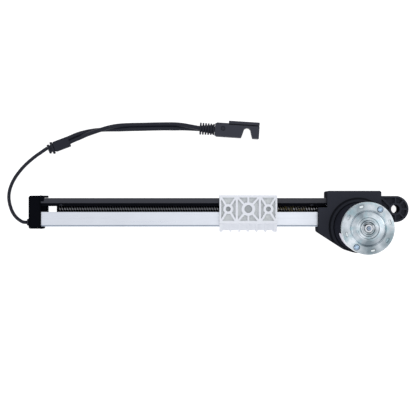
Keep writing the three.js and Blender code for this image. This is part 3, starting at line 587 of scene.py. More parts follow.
SHAFT_STEEL = drawn_metal("shaft_steel", (0.26, 0.32, 0.4), 0.25, (1, 1, 0.05))
# a bright white that stands for painted highlights in the cap's slots
SLOT_HIGHLIGHT_WHITE = moulded("slot_painted_highlight", (0.86, 0.93, 0.92), 0.3, 0.1, vary=0.05)
CAN_ZINC = moulded("can_zinc", (0.62, 0.61, 0.7), 0.35, 0.1, vary=0.05)
BLUED_ZINC = drawn_metal("blued_zinc", (0.5, 0.62, 0.72), 0.2, (1, 1, 1), 0.1, tinted=(0.36, 0.5, 0.66))
BRONZE = drawn_metal("bronze", (0.62, 0.42, 0.18), 0.4, (1, 1, 1))
COPPER = drawn_metal("copper", (0.72, 0.33, 0.16), 0.35, (1, 1, 0.2))
FERRITE = moulded("ferrite", (0.03, 0.03, 0.032), 0.8)
GEAR_NYLON = moulded("gear_nylon", (0.7, 0.66, 0.52), 0.45)
CARBON = moulded("carbon", (0.02, 0.02, 0.02), 0.6)
BOARD = moulded("circuit_board", (0.03, 0.16, 0.06), 0.4)
PLATED = plated_metal()
GREASED_STEEL = greased_steel()

FINISHES = {
    "anodised_aluminium": ALUMINIUM, "slate_plastic": SLATE, "black_plastic": BLACK,
    "black_rubber": RUBBER, "steel": STEEL, "dark_steel": GREASED_STEEL, "zinc": ZINC,
    "bronze": BRONZE, "copper": COPPER, "ferrite": FERRITE, "gear_nylon": GEAR_NYLON,
    "carbon": CARBON, "circuit_board": BOARD, "white_nylon": NYLON,
}
SLOT_OF = {finish: slot for slot, finish in FINISHES.items()}
SLOT_OF |= dict.fromkeys([HOUSING_PAINTED_SHADE_SLATE, COVER_BLACK], "slate_plastic")
SLOT_OF |= dict.fromkeys([JACKET, PLUG_BLACK], "black_plastic")
SLOT_OF |= dict.fromkeys([PLATED, BLUED_ZINC, SLOT_HIGHLIGHT_WHITE, CAN_ZINC], "zinc")
SLOT_OF[SHAFT_STEEL] = "steel"


# ---- cable and leads

CABLE_RADIUS, LEAD_RADIUS = 2.2, 2.7
SPLITTER = {"x": -191.1, "y": 82.05, "turn": 20.9}
PLUG = {"x": 8.65, "y": 101.4, "turn": -3.7}
PLUG_LENGTH, PLUG_HALF, PLUG_THICK, PLUG_RIDGE = 56.6, 8.8, 15.0, 12.2

CABLE_ROUTE = [
    (-230.9, -17, 10), (-235.3, -16.6, 9.2), (-240, -14.4, 7), (-245.4, -10.2, 4.6), (-249.8, -4.4, 2.9),
    (-252.7, 2.5, 2.35), (-254.4, 9.5, 2.3), (-254.9, 16, 2.3), (-254.1, 23, 2.3), (-251.6, 31, 2.3),
    (-247.6, 39, 2.3), (-242.3, 46.7, 2.3), (-235.5, 54.6, 2.3), (-227.4, 62.2, 2.3),
    (-220, 68.1, 2.3), (-214.2, 72.1, 2.5), (-209.4, 75.4, 2.9), (-205.5, 78, 3.2),
]
LEAD_ROUTE = [
    (-177.2, 88.4), (-171.4, 91), (-165.4, 93.4), (-155.6, 96.7), (-145.3, 99.4), (-135.1, 101.5),
    (-124.8, 103.1), (-114.6, 104.1), (-99.2, 104.9), (-83.9, 105.2), (-68.5, 105.6), (-53.1, 105.8),
    (-42.9, 105.7), (-32.6, 105.2), (-22.4, 104), (-16.6, 103.3), (-11.5, 102.7),
]
LEAD_SPREAD = [
    2.75, 2.75, 2.75, 2.1, 1.2, 0, -1.4, -2.4, -2.75, -2.75, -2.75, -2.75, -2.75, -2.1, -1.3, -0.9, -0.5,
]
OVER_HEIGHT = [3.2, 3, 3.4, 6.6, 8.1, 8.5, 7.8, 5.6, 3, 2.8, 2.8, 2.8, 3.4, 6.6, 9.2, 10.2, 10.4]
UNDER_HEIGHT = [3.2, 2.9, 2.8, 2.8, 2.8, 2.8, 2.8, 2.8, 2.8, 2.8, 2.8, 2.8, 2.8, 2.8, 4, 4.6, 4.8]
TOUCHING = 0.95  # brings the leads together, so that they lie side by side
INTO_SPLITTER = 2.5
IN_BOOT = [-14, -8, -2, 2]  # where the leads run on through the boot, along the plug


def put(shape, place):
    """Turn a shape drawn about its own origin and move it to its place on the floor."""
    return moved(turn_about(shape, place["turn"]), (place["x"], place["y"], 0))


def on_plug(along, across, height):
    angle = math.radians(PLUG["turn"])
    return (PLUG["x"] + along * math.cos(angle) - across * math.sin(angle),
            PLUG["y"] + along * math.sin(angle) + across * math.cos(angle), height)


def spread_route(side, heights):
    """The leads' middle line, moved sideways by half the space between them, and on into the plug."""
    route = []
    for i, (x, y) in enumerate(LEAD_ROUTE):
        before = Vector(LEAD_ROUTE[max(i - 1, 0)])
        after = Vector(LEAD_ROUTE[min(i + 1, len(LEAD_ROUTE) - 1)])
        along = (after - before).normalized()
        offset = LEAD_SPREAD[i] * side * TOUCHING
        route.append((x + along.y * offset, y - along.x * offset, heights[i]))
    first, second = Vector(route[0]), Vector(route[1])
    inside = first - (second - first).normalized() * INTO_SPLITTER
    route.insert(0, (inside.x, inside.y, first.z))
    return route + [on_plug(place, 0.5 * side, PLUG_THICK / 2 + 2.75 * side) for place in IN_BOOT]


def in_frame(place):
    return tuple((Vector(place) + origin) * MM)


def make_cord(name, node, route, radius):
    curve = bpy.data.curves.new(name, "CURVE")
    curve.dimensions = "3D"
    curve.resolution_u = 10
    curve.bevel_depth = radius * MM
    curve.bevel_resolution = 5
    curve.use_fill_caps = True
    spline = curve.splines.new("BEZIER")
    spline.bezier_points.add(len(route) - 1)
    for point, place in zip(spline.bezier_points, route, strict=True):
        point.co = in_frame(place)
        point.handle_left_type = point.handle_right_type = "AUTO"
    curve.materials.append(RUBBER)
    cord = bpy.data.objects.new(name, curve)
    bpy.context.scene.collection.objects.link(cord)
    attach(cord, "frame")
    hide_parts(node)


def make_splitter():
    """An overmoulded block where the cable divides, with a ringed collar on the cable's side."""
    middle_height = 3.2
    body = prism(outline([
        (-6.5, -6.6, 0.8), (-4.5, -7.4, 1), (14.4, -7.4, 0.8), (14.4, 6, 0.8), (-4.5, 6, 1), (-6.5, 5.2, 0.8),
    ]), 0, 2 * middle_height)
    collar = rod("x", 3, (-14.4, -6), (0, middle_height))
    neck = block((-12.5, -6), (-5.4, 3.6), (0.6, 2 * middle_height - 0.6))
    rings = [prism(rounded(across, (0, 2 * middle_height), 1.5), *along, "x")
             for along, across in [((-14.4, -11.8), (-6.8, 5.2)), ((-9.9, -7.2), (-8.8, 7))]]
    shape = joined(body, collar, neck, *rings)
    return piece("splitter", put(shape, SPLITTER), RUBBER, "frame", ["cable_splitter"], edge=0.4, steps=3)


def make_boot():
    """The plug's strain relief: a core with six oval discs, a little narrower towards the plug."""
    length, discs, thick = 19, 6, 2.2
    half_width, narrowing, half_height = 7.7, 0.1, 7
    pitch = (length - thick) / (discs - 1)
    height = PLUG_THICK / 2
    cone = turned([(0, -GAP - length), (3.8, -GAP - length), (6, -GAP), (0, -GAP)], sides=64)
    cone.data.transform(Matrix.Translation((0, 0, height)) @ Matrix.Rotation(math.pi / 2, 4, "Y"))
    shapes = [cone]
    for i in range(discs):
        start = -GAP - length + i * pitch
        wide = half_width - narrowing * i
        oval = [(wide * u, height + half_height * v) for u, v in arc((0, 0), 1, 0, 360, 64)[:-1]]
        shapes.append(prism(oval, start, start + thick, "x"))
    return piece("ribbed_boot", put(joined(*shapes), PLUG), RUBBER, "frame", ["plug_boot"], edge=0.4, steps=3)


def make_plug():
    """A flat two-pole plug: a ridge along one side with a seam beside it, a notch and a dimple."""
    half, top, step_depth = PLUG_HALF, PLUG_THICK, 3
    notch_x, notch_y, notch_radius, flare = 41.2, -0.4, 4.6, 2.8
    ridge_run, past_end = (17.4, PLUG_LENGTH), (17.4, PLUG_LENGTH + 1)
    body = prism(outline([
        (0, -half + 1.6, 0.6), (2.6, -half, 1), (PLUG_LENGTH, -half, 0.6), (PLUG_LENGTH, half, 0.6),
        (2.6, half, 1), (0, half - 1.6, 0.6),
    ]), 0, top)
    ridge = block(ridge_run, (half - 1, PLUG_RIDGE), (step_depth, top - step_depth))
    step = block(past_end, (half - 1.2, half + 1), (top - step_depth, top + 1))
    seam = block(past_end, (half - 2, half - 0.6), (top - 5.5, top + 1))
    under_step = block(past_end, (half - 1.2, half + 1), (-1, step_depth))
    notch = prism([
        *arc((notch_x, notch_y), notch_radius, 0, 180, 36),
        (notch_x - notch_radius - flare, -half - 1), (notch_x + notch_radius + flare, -half - 1),
    ], -1, top + 1)
    dimple = turned([(0, top - 2.4), (2.3, top - 2.4), (3, top + 0.2), (0, top + 0.2)], (10.4, 1.6), 48)
    contact_opening = block((PLUG_LENGTH - 6, PLUG_LENGTH + 1), (-5.5, 5.5), (4, top - 4))
    shape = cut(joined(cut(body, step, under_step), ridge), seam, notch, dimple, contact_opening)
    return piece("plug", put(shape, PLUG), PLUG_BLACK, "frame", ["plug_body"], edge=0.3)


def make_cords():
    splitter, boot, plug = make_splitter(), make_boot(), make_plug()
    make_cord("main_cable", "cable", CABLE_ROUTE, CABLE_RADIUS)
    make_cord("lead_over", "lead_1", spread_route(1, OVER_HEIGHT), LEAD_RADIUS)
    make_cord("lead_under", "lead_2", spread_route(-1, UNDER_HEIGHT), LEAD_RADIUS)


# ---- rail, cover strip and end cap

WALL, CHANNEL_BACK, CHANNEL_FRONT, DUCT_RIGHT = 2.4, 9.0, 31.0, -11.8
SLOT_HALF, CHANNEL_HALF, LEDGE = 3.6, 9.4, 33.5
COVER_BAND, COVER_BAND_TOP = 36.2, 7.3
LEVER_WIDTH, LEVER_TRAVEL = 2.6, 1.0
END_CAP_SCREWS = [(-206.5, -5.5), (-206.5, 5.5)]
RAIL_SCREWS = [(144, -4), (158, -4)]


def lever_slot(left, z):
    play = LEVER_TRAVEL + GAP
    return block((left - play, left + LEVER_WIDTH + play), (SLOT_HALF - 1, 6.5), z)


def make_rail():
    """An extrusion with a channel for the screw, a duct for the wires and three grooves in its back."""
    low, high = RAIL_LOW, RAIL_HIGH
    section = outline([
        (low.y, low.z, 3), (high.y, low.z, 1.2), (high.y, LEDGE), (SLOT_HALF, LEDGE),
        (SLOT_HALF, CHANNEL_FRONT), (CHANNEL_HALF, CHANNEL_FRONT), (CHANNEL_HALF, CHANNEL_BACK),
        (-CHANNEL_HALF, CHANNEL_BACK), (-CHANNEL_HALF, LEDGE), (-SLOT_HALF, LEDGE), (-SLOT_HALF, high.z),
        (low.y, high.z, 2.6),
    ], 8)
    duct_left, duct_floor = low.y + WALL, low.z + WALL
    duct = outline([
        (duct_left, duct_floor, 1.5), (DUCT_RIGHT, duct_floor, 0.8), (DUCT_RIGHT, LEDGE, 0.8),
        (duct_left, LEDGE, 1.5),
    ])
    grooves = [rod("x", 0.5, (low.x - 1, high.x + 1), (y, low.z - 0.25), 16) for y in (-15, -7.4, 7.4)]
    back_wall = (low.z - 1, CHANNEL_BACK + 1)
    shape = cut(
        prism(section, low.x, high.x, "x"),
        prism(duct, low.x - 1, high.x + 1, "x"),
        *grooves,
        block((-203, -192.2), (-4, 4), back_wall),
        *[lever_slot(left, (CHANNEL_FRONT - 1, LEDGE + 1)) for left in LEVERS],
        *rods(1.6, back_wall, END_CAP_SCREWS),
        *rods(1.8, back_wall, RAIL_SCREWS),
    )
    made = piece("extruded_rail", shape, ALUMINIUM, "frame", ["rail"], edge=0.25)
    made.data.materials.append(ALUMINIUM_PAINTED_EDGE_SHADE)
    edge_width, edge_floor = 2.1, 30  # the rounded front edge, painted darker than the face beside it as shade
    limit = (low.y + edge_width + origin.y) * MM
    for face in made.data.polygons:
        face.material_index = int(face.center.y < limit and face.center.z > edge_floor * MM)


def make_cover_strip():
    low, high = COVER_LOW, COVER_HIGH
    foot, side = LEDGE + GAP, RAIL_HIGH.y + GAP
    section = outline([
        (SLOT_HALF, foot), (side, foot), (side, low.z), (high.y, low.z), (high.y, high.z, 1.4),
        (COVER_BAND_TOP, high.z, 0.6), (COVER_BAND_TOP, COVER_BAND), (SLOT_HALF, COVER_BAND, 0.5),
    ], 8)
    shape = cut(prism(section, low.x, high.x, "x"),
                *[lever_slot(left, (foot - 1, high.z)) for left in LEVERS])
    made = piece("slot_cover", shape, COVER_BLACK, "frame", ["cover_strip"], edge=0.2)
    # the recessed band gets near-black plastic, darker than the raised band: painted shade in the channel
    made.data.materials.append(BLACK)
    limit = (COVER_BAND_TOP - 0.05 + origin.y) * MM
    for face in made.data.polygons:
        face.material_index = int(face.center.y < limit)


def make_end_cap():
    """A deep cap with a spigot in the rail's channel, a tab and a lug over its edges and a raised rim."""
    low, high = span("end_cap")
    right, lug_end = -209.3, -204.6
    body = prism(outline([
        (low.x, low.y, 2.5), (right, low.y, 0.8), (right, high.y, 0.8), (low.x, high.y, 3),
    ]), 0, high.z)
    spigot = block((right - 1, -203.6), (-8.9, 8.9), (CHANNEL_BACK + GAP, CHANNEL_FRONT - GAP))
    upper_tab = block((right - 1, -200.1), (COVER_HIGH.y + GAP, high.y), (31, 37))
    lug = prism(outline([
        (right - 1, low.y), (-207.5, low.y), (lug_end, RAIL_LOW.y - 1.2), (lug_end, RAIL_LOW.y - GAP),
        (right - 1, RAIL_LOW.y - GAP),
    ]), 27, 34)
    shelf = block((right - 1, -205), (9.6, high.y), (COVER_HIGH.z + GAP, high.z))
    lip = prism(outline([
        (low.x + 1.6, low.y + 1.6, 1.2), (right - 1.2, low.y + 1.6), (right - 1.2, high.y - 1.6),
        (low.x + 1.6, high.y - 1.6, 1.6),
    ]), high.z - 0.4, high.z + 1)
    cable_way = rod("x", 3, (low.x - 1, right + 1), (-15.8, 12), 32)
    holes = rods(1.6, (RAIL_LOW.z, 16.5), END_CAP_SCREWS)
    shape = cut(joined(body, spigot, upper_tab, lug, shelf), lip, cable_way, *holes)
    piece("rail_end_cap", shape, BLACK, "frame", ["end_cap"], edge=0.45, steps=3)


def make_gland():
    """A tapered collar, square in section, with two grooves round it."""
    low, high = span("cable_gland")
    y, z = (low.y + high.y) / 2, (low.z + high.z) / 2
    root, tip = (high.y - low.y) / 2, 3.6
    side = prism(outline([
        (low.x, y - tip, 1), (high.x, y - root), (high.x, y + root), (low.x, y + tip, 1),
    ]), z - root, z + root)
    top = prism(outline([
        (z - tip, low.x, 1), (z + tip, low.x, 1), (z + root, high.x), (z - root, high.x),
    ]), y - root - 1, y + root + 1, "y")
    bore = rod("x", CABLE_RADIUS + 0.2, (low.x - 1, low.x + 2), (y, z), 32)
    grooves = [cut(block((x, x + 0.8), (y - 9, y + 9), (z - 9, z + 9)),
                   block((x - 1, x + 2), (y - size, y + size), (z - size, z + size)))
               for x, size in ((low.x + 1.9, 3.9), (low.x + 3.7, 4.8))]
    shape = cut(common(side, top), bore, *grooves)
    piece("cable_collar", shape, RUBBER, "frame", ["cable_gland"], edge=0.3, steps=3)


# ---- gearbox

ARC_RADIUS, DIAGONAL, ARC_END = 32.0, 241, 334.6
HOUSING_TOP, HOUSING_RIGHT, NOTCH, CHEEK, HOUSING_FRONT = 22.7, 215.8, 148.6, 2.0, 44.0
EYE_X, EYE_RADIUS, EYE_STRAIGHT, EYE_HOLE, EYE_BOSS = 235.0, 16.5, 16.4, 5.4, 8.0
EYE_BACK, EYE_FRONT, EYE_FLOOR = 5.0, 33.0, 29.5
CHAMBER, CHAMBER_RADIUS, BEARING_SEAT = (179.0, 195.0), 19.8, 9.3
COVER_SCREWS = [(172, 16), (209, 16), (168, -36), (204, -40)]
BACK_PLATE, TAIL_BORE = 3.0, 5.8
BOLT_CIRCLE, BOLT_ANGLES = 25.9, (58, 238)
BOLT_HOLE, SHAFT_HOLE, WORM_BORE, SEAT_RADIUS = 1.9, 6.6, 17.0, 36.0
MOTOR_FOOT = 50.0


def housing_outline():
    edge = arc(MOTOR.xy, ARC_RADIUS, DIAGONAL, ARC_END, 64)
    corner = edge[0][1] + (edge[0][0] - HOUSING_LOW.x) * math.tan(math.radians(DIAGONAL - 210))
    return outline([
        (HOUSING_LOW.x, corner + 1.5, 4), *edge, (HOUSING_RIGHT, MOTOR.y), (HOUSING_RIGHT, HOUSING_TOP, 2.5),
        (NOTCH, HOUSING_TOP, 2.2), (NOTCH, CHEEK), (HOUSING_LOW.x, CHEEK),
    ], 10)


def back_cover_shape(offset):
    """The back cover's outline as a solid, or with an offset the pocket that it lies in."""
    disc = rod("z", 28 + offset, (0, BACK_PLATE + offset), MOTOR.xy, 96)
    plate = prism(outline([
        (167 - offset, -20), (213 + offset, -20), (213 + offset, 20 + offset, 2),
        (167 - offset, 20 + offset, 2),
    ]), 0, BACK_PLATE + offset)
    return joined(disc, plate)


def gear_chamber():
    return rod("x", CHAMBER_RADIUS, CHAMBER, (0, SCREW_Z), 96)


def seat_slot(left, right):
    """A bearing's seat, open to the back."""
    slot = block((left, right), (-BEARING_SEAT, BEARING_SEAT), (0, SCREW_Z))
    return joined(slot, rod("x", BEARING_SEAT, (left, right), (0, SCREW_Z)))


def eye_pockets():
    rim, high = EYE_RADIUS - 2.4, EYE_FRONT + 1
    ribs = []
    for degrees in (90, 45, 0, -45, -90):
        rib = block((0, rim + 1), (-1, 1), (EYE_FLOOR - 1, high + 1))
        ribs.append(moved(turn_about(rib, degrees), (EYE_X, 0, 0)))
    web = moved(turn_about(block((-12, 12), (-1.3, 1.3), (EYE_FLOOR - 1, high + 1)), -45), (223.5, 8.5, 0))
    neck = block((HOUSING_RIGHT + 1.8, EYE_X), (-rim, EYE_STRAIGHT - 2.2), (EYE_FLOOR, high))
    boss = rod("z", EYE_BOSS, (0, high + 1), (EYE_X, 0), 96)
    return cut(joined(rod("z", rim, (EYE_FLOOR, high), (EYE_X, 0), 96), neck), boss, web, *ribs)


def make_housing():
    body = prism(housing_outline(), 0, HOUSING_FRONT)
    boss = turned([
        (SHAFT_HOLE, HOUSING_FRONT - 1), (SEAT_RADIUS, HOUSING_FRONT - 1),
        (SEAT_RADIUS, HOUSING_FRONT + 1.6), (SEAT_RADIUS - 0.8, HOUSING_FRONT + 2.4),
        (33.4, MOTOR_FOOT - 0.6), (32.6, MOTOR_FOOT), (SHAFT_HOLE, MOTOR_FOOT),
    ], MOTOR.xy, 160)
    boss = common(boss, prism(housing_outline(), 0, MOTOR_FOOT + 1))
    ear = prism([
        (HOUSING_RIGHT - 8, -EYE_RADIUS), *arc((EYE_X, 0), EYE_RADIUS, -90, 84, 56),
        (HOUSING_RIGHT - 8, EYE_STRAIGHT),
    ], EYE_BACK, EYE_FRONT)
    rail_pocket = block((HOUSING_LOW.x - 1, RAIL_HIGH.x + GAP), (RAIL_LOW.y - GAP, RAIL_HIGH.y + GAP),
                        (RAIL_LOW.z - GAP, RAIL_HIGH.z + GAP))
    shape = cut(
        joined(body, boss, ear), rail_pocket, back_cover_shape(GAP), gear_chamber(),
        block(CHAMBER, (-CHAMBER_RADIUS, CHAMBER_RADIUS), (0, SCREW_Z)),
        seat_slot(RAIL_HIGH.x, CHAMBER[0] + 1), seat_slot(CHAMBER[1] - 1, 206),
        rod("z", WORM_BORE, (-1, 38), MOTOR.xy, 96),
        rod("z", SHAFT_HOLE, (30, MOTOR_FOOT + 1), MOTOR.xy, 48),
        rod("z", EYE_HOLE, (0, HOUSING_FRONT), (EYE_X, 0), 96), eye_pockets(),
        *rods(1.6, (0, 10.5), COVER_SCREWS), *rods(1.8, (-1, 6), RAIL_SCREWS),
        *rods(3.3, (-1, 2.3), RAIL_SCREWS, 32), *rods(BOLT_HOLE, (43, MOTOR_FOOT + 1), BOLTS),
    )
    piece("gearbox_casing", shape, HOUSING_PAINTED_SHADE_SLATE, "frame", ["gearbox_housing"], edge=0)


def make_back_cover():
    """The plate that closes the gearbox's back, with a collar for the bush of the worm's tail."""
    shape = cut(back_cover_shape(0), gear_chamber())
    tail = tube(8, TAIL_BORE, BACK_PLATE - 0.6, 9.5, MOTOR.xy)
    ring_groove = tube(24.6, 23.4, -1, 0.5, MOTOR.xy)
    shape = cut(
        joined(shape, tail), ring_groove,
        *rods(1.6, (-1, 5), COVER_SCREWS), *rods(3.1, (-1, 1.8), COVER_SCREWS, 32),
        rod("z", TAIL_BORE, (2.2, 6), MOTOR.xy, 48),
        block(CHAMBER, (-18.9, MOTOR.y + 8.2), (3.2, 10)),
    )
    piece("gearbox_back_plate", shape, BLACK, "frame", ["gearbox_back_cover"], edge=0.3)


def recessed_screw(name, node, place, head, shank, head_span, top, driver):
    """A screw with its head down and a six-sided recess in it."""
    foot, seat = head_span
    core = rod("z", shank, (seat - 0.2, top), place, 32)
    body = joined(rod("z", head, head_span, place, 48), core)
    recess = prism(arc(place, driver, 0, 360, 6)[:-1], foot - 1, foot + 0.8)
    piece(name, cut(body, recess), STEEL, "frame", [node], edge=0.25)


# ---- lead screw

THREAD_PITCH, THREAD_STARTS = 3.2, 4
THREAD_ROOT, THREAD_CREST = 4.9, 6.0
THREAD_SPAN = (-188.0, 162.0)


def make_thread():
    """A right-hand trapezoidal thread: its rows follow the helix, so that a full turn ends on the row
    that is one lead further on. It is made too long and cut square."""
    lead, sides = THREAD_PITCH * THREAD_STARTS, 48
    profile = [(0, THREAD_CREST), (1.1, THREAD_CREST), (1.6, THREAD_ROOT), (2.7, THREAD_ROOT)]
    first = THREAD_SPAN[0] - lead - 2
    pitches = math.ceil((THREAD_SPAN[1] - first + 2) / THREAD_PITCH)
    rows = [(first + p * THREAD_PITCH + along, radius) for p in range(pitches) for along, radius in profile]
    jump = THREAD_STARTS * len(profile)
    verts = []
    for i in range(sides):
        angle = 2 * math.pi * i / sides
        for along, radius in rows:
            verts.append((along + lead * i / sides, radius * math.cos(angle), radius * math.sin(angle)))

    def corner(i, row):
        return (i * len(rows) + row) if i < sides else row + jump

    faces = []
    for i in range(sides):
        for row in range(len(rows) - 1 - jump):
            faces.append((corner(i, row), corner(i + 1, row), corner(i + 1, row + 1), corner(i, row + 1)))
    last = len(rows) - 1 - jump
    for end in (0, last):
        loop = [corner(i, end) for i in range(sides)]
        loop += [end + jump - back for back in range(jump)]
        hub = len(verts)
        middle_x = sum(verts[v][0] for v in loop) / len(loop)
        verts.append((middle_x, 0, 0))
        faces += [(loop[i], loop[(i + 1) % len(loop)], hub) for i in range(len(loop))]
    return shape_from(verts, faces)


def make_lead_screw():
    thread = common(make_thread(), rod("x", THREAD_CREST + 1, THREAD_SPAN, (0, 0), 48))
    low, high = span("lead_screw")
    journal = rod("x", 4, (low.x, THREAD_SPAN[0] + 1), (0, 0), 48)
    shaft = rod("x", 5, (THREAD_SPAN[1] - 1, high.x), (0, 0), 48)
    shape = moved(joined(thread, journal, shaft), (0, 0, SCREW_Z))
    piece("threaded_screw", shape, GREASED_STEEL, "screw", ["lead_screw"], edge=0, sharp=25)


def make_end_bush():
    """A thin plate in the channel that carries the screw's journal."""
    low, high = span("screw_end_bush")
    plate = block((low.x, THREAD_SPAN[0] - GAP), (low.y, high.y), (low.z, high.z))
    bore = rod("x", 4.3, (low.x - 1, high.x), (0, SCREW_Z), 48)
    piece("end_bush", cut(plate, bore), BLACK, "frame", ["screw_end_bush"], edge=0.2)


# ---- motor

CAN_RADIUS, SLEEVE_RADIUS = 29.2, 30.5
SLEEVE_TOP, CAN_TOP, CAP_TOP, CUT_FOOT = 124.0, 130.0, 137.0, 84.0
CUT_AWAY = (192, 243)
CAP_SLOTS = [16, 108, 151, 196, 282, 328]
HIGHLIGHT_SLOTS = [  # slots with a painted highlight: angle, offset outwards, half width
    (16, -0.3, 0.75), (108, 0, 1.3), (196, -0.3, 0.75), (282, 0.2, 1),
]
SLOT_CIRCLE = BOLT_CIRCLE + 0.4


def around_motor(radius, degrees):
    angle = math.radians(degrees)
    return (MOTOR.x + radius * math.cos(angle), MOTOR.y + radius * math.sin(angle))


BOLTS = [around_motor(BOLT_CIRCLE, degrees) for degrees in BOLT_ANGLES]


def make_motor_can():
    foot = MOTOR_FOOT + GAP
    inner, floor = CAN_RADIUS - 1.2, foot + 2.4
    wall = turned([
        (SHAFT_HOLE, foot), (CAN_RADIUS, foot), (CAN_RADIUS, CAN_TOP), (inner, CAN_TOP), (inner, floor),
        (SHAFT_HOLE, floor),
    ], MOTOR.xy, 160)
    shape = cut(wall, *rods(BOLT_HOLE, (foot - 1, foot + 5), BOLTS))
    piece("motor_barrel", shape, CAN_ZINC, "frame", ["motor_can"], edge=0.25)


def make_motor_sleeve():
    wall = tube(SLEEVE_RADIUS, SLEEVE_RADIUS - 1, MOTOR_FOOT + GAP, SLEEVE_TOP, MOTOR.xy, 160)
    opening = prism([tuple(MOTOR.xy), *arc(MOTOR.xy, 36, *CUT_AWAY, 24)], CUT_FOOT, SLEEVE_TOP + 5)
    piece("motor_jacket", cut(wall, opening), JACKET, "frame", ["motor_sleeve"], edge=0.2)


def on_slot_circle(shape, degrees, offset=0.0):
    """Set a shape drawn about its own origin on the circle of the cap's slots."""
    place = around_motor(SLOT_CIRCLE + offset, degrees)
    return moved(turn_about(shape, degrees - 90), (*place, 0))


def make_motor_end_cap():
    """A pressed cap: a flat outer ring, a groove, a shallow dome with a crest, and the bearing's boss."""
    ring_foot, ridge = CAN_TOP + GAP, 136.2
    dome = [(20.5, 136.2), (20.2, 137), (19.4, 137.7), (18.4, 138.2), (15, 138.7), (13.6, 139), (12.7, 138.9)]
    boss = [(12.3, 137.5), (9.8, 137.4), (9.4, 137.8), (9.2, 141.1), (8.9, 141.5), (7.9, 141.5),
            (7.4, 141), (7.2, 138.2), (5.4, 138.2), (5.2, 141), (4.8, 141.2)]
    shell = turned([
        (4.8, 133), (12, 133), (12, ring_foot), (CAP_RADIUS, ring_foot), (CAP_RADIUS, ridge), (30.4, 136.8),
        (29.6, CAP_TOP), (21.5, CAP_TOP), (21, 136.2), *dome, *boss,
    ], MOTOR.xy, 192)
    skirt = tube(CAP_RADIUS, 29.5, 125, 131, MOTOR.xy, 192)
    slots = []
    for degrees in CAP_SLOTS:
        slot = prism(rounded((-2.6, 2.6), (-1.15, 1.15), 1.1), 134.8, CAP_TOP + 1)
        funnel = prism(rounded((-3.2, 3.2), (-1.7, 1.7), 1.6), CAP_TOP - 0.35, CAP_TOP + 1)
        slots += [on_slot_circle(shape, degrees) for shape in (slot, funnel)]
    window = prism([*arc(MOTOR.xy, 7.1, 40, 150, 20), *arc(MOTOR.xy, 5.5, 150, 40, 20)], 135.4, 140)
    bolt_holes = rods(BOLT_HOLE, (CAN_TOP - 1, CAP_TOP + 2), BOLTS)
    seats = [turned([(0, 136.6), (3.4, 136.6), (3.9, CAP_TOP + 0.3), (0, CAP_TOP + 0.3)], place, 48)
             for place in BOLTS]
    shape = cut(joined(shell, skirt), *slots, window, *bolt_holes, *seats)
    piece("motor_top_cap", shape, PLATED, "frame", ["motor_end_cap"], edge=0.18, sharp=40)


def make_slot_highlight_plates():
    """Bright plates just under four of the cap's slots, where the photograph shows light: painted highlights.
    """
    plates = []
    for degrees, offset, half in HIGHLIGHT_SLOTS:
        plate = block((-2.3, 2.3), (-half, half), (CAP_TOP - 1.4, CAP_TOP - 0.5))
        plates.append(on_slot_circle(plate, degrees, offset))
    piece("cap_slot_highlight_plates", joined(*plates), SLOT_HIGHLIGHT_WHITE, "frame", [], edge=0)


def make_motor_bolts():
    """Pan-head screws with a cross recess, through the whole motor."""
    foot, head = CAP_TOP + GAP, 3.0
    for i, place in enumerate(BOLTS):
        pan = turned([
            (0.2, foot), (head, foot), (head, foot + 0.9), (2.6, foot + 1.6), (1.7, foot + 2),
            (0.2, foot + 2),
        ], place, 48)
        core = rod("z", 1.6, (44, foot + 1.4), place, 32)
        x, y = ((middle - reach, middle + reach) for middle, reach in zip(place, (1.7, 0.5)))
        cross = [turn_about(block(x, y, (foot + 0.9, foot + 4)), turn, place) for turn in (20, 110)]
        shape = cut(joined(core, pan), *cross)
        piece(f"motor_screw_{i + 1}", shape, BLUED_ZINC, "frame", [f"motor_bolt_{i + 1}"], edge=0.12)


def make_motor_shaft():
    """The rotor's shaft: turned down for the worm, with a chamfered end and a centre mark."""
    foot, top = (corner.z for corner in span("motor_shaft"))
    stages = [(1.9, foot), (1.9, 36.5), (2.5, 37), (2.5, top - 0.5), (2, top)]
    profile = [(0.05, foot), *stages, (0.7, top), (0.05, top - 0.5)]
    shape = turned(profile, MOTOR.xy, 64)
    piece("rotor_shaft", shape, SHAFT_STEEL, "rotor", ["motor_shaft"], edge=0, sharp=25)


# ---- carriage

CARRIAGE_FRONT, CARRIAGE_FLOOR, CARRIAGE_BACK = 45.0, 40.3, 1.0
CARRIAGE_HALF, CARRIAGE_TOP, CARRIAGE_BOTTOM = 35.9, 17.3, -26.8
PLATE_BOTTOM, SKIRT_FRONT, RIB_TIP, RIB_FRONT = -18.3, 34.5, -28.7, 37.5
BOSSES = [(-25, 6, 3.1), (0, 8.3, 4.9), (25, 6, 3.1)]
CELL_LOW, CELL_HIGH, CELL_END, DIVIDER, DIVIDER_HALF = -14.7, 14.2, 33.7, 14.4, 1.4


def cross_rib(start, end, width):
    """A rib across a cell, longer than the pocket is deep, to be cut out of it."""
    along = Vector(end) - Vector(start)
    rib = block((0, along.length), (-width / 2, width / 2), (CARRIAGE_FLOOR - 4, CARRIAGE_FRONT + 6))
    return moved(turn_about(rib, math.degrees(math.atan2(along.y, along.x))), (*start, 0))


def cell_bounds(x):
    """Where the cell round a boss begins and ends along the rail."""
    inner, outer = DIVIDER - DIVIDER_HALF, DIVIDER + DIVIDER_HALF
    if x == 0:
        return -inner, inner
    return (outer, CELL_END) if x > 0 else (-CELL_END, -outer)


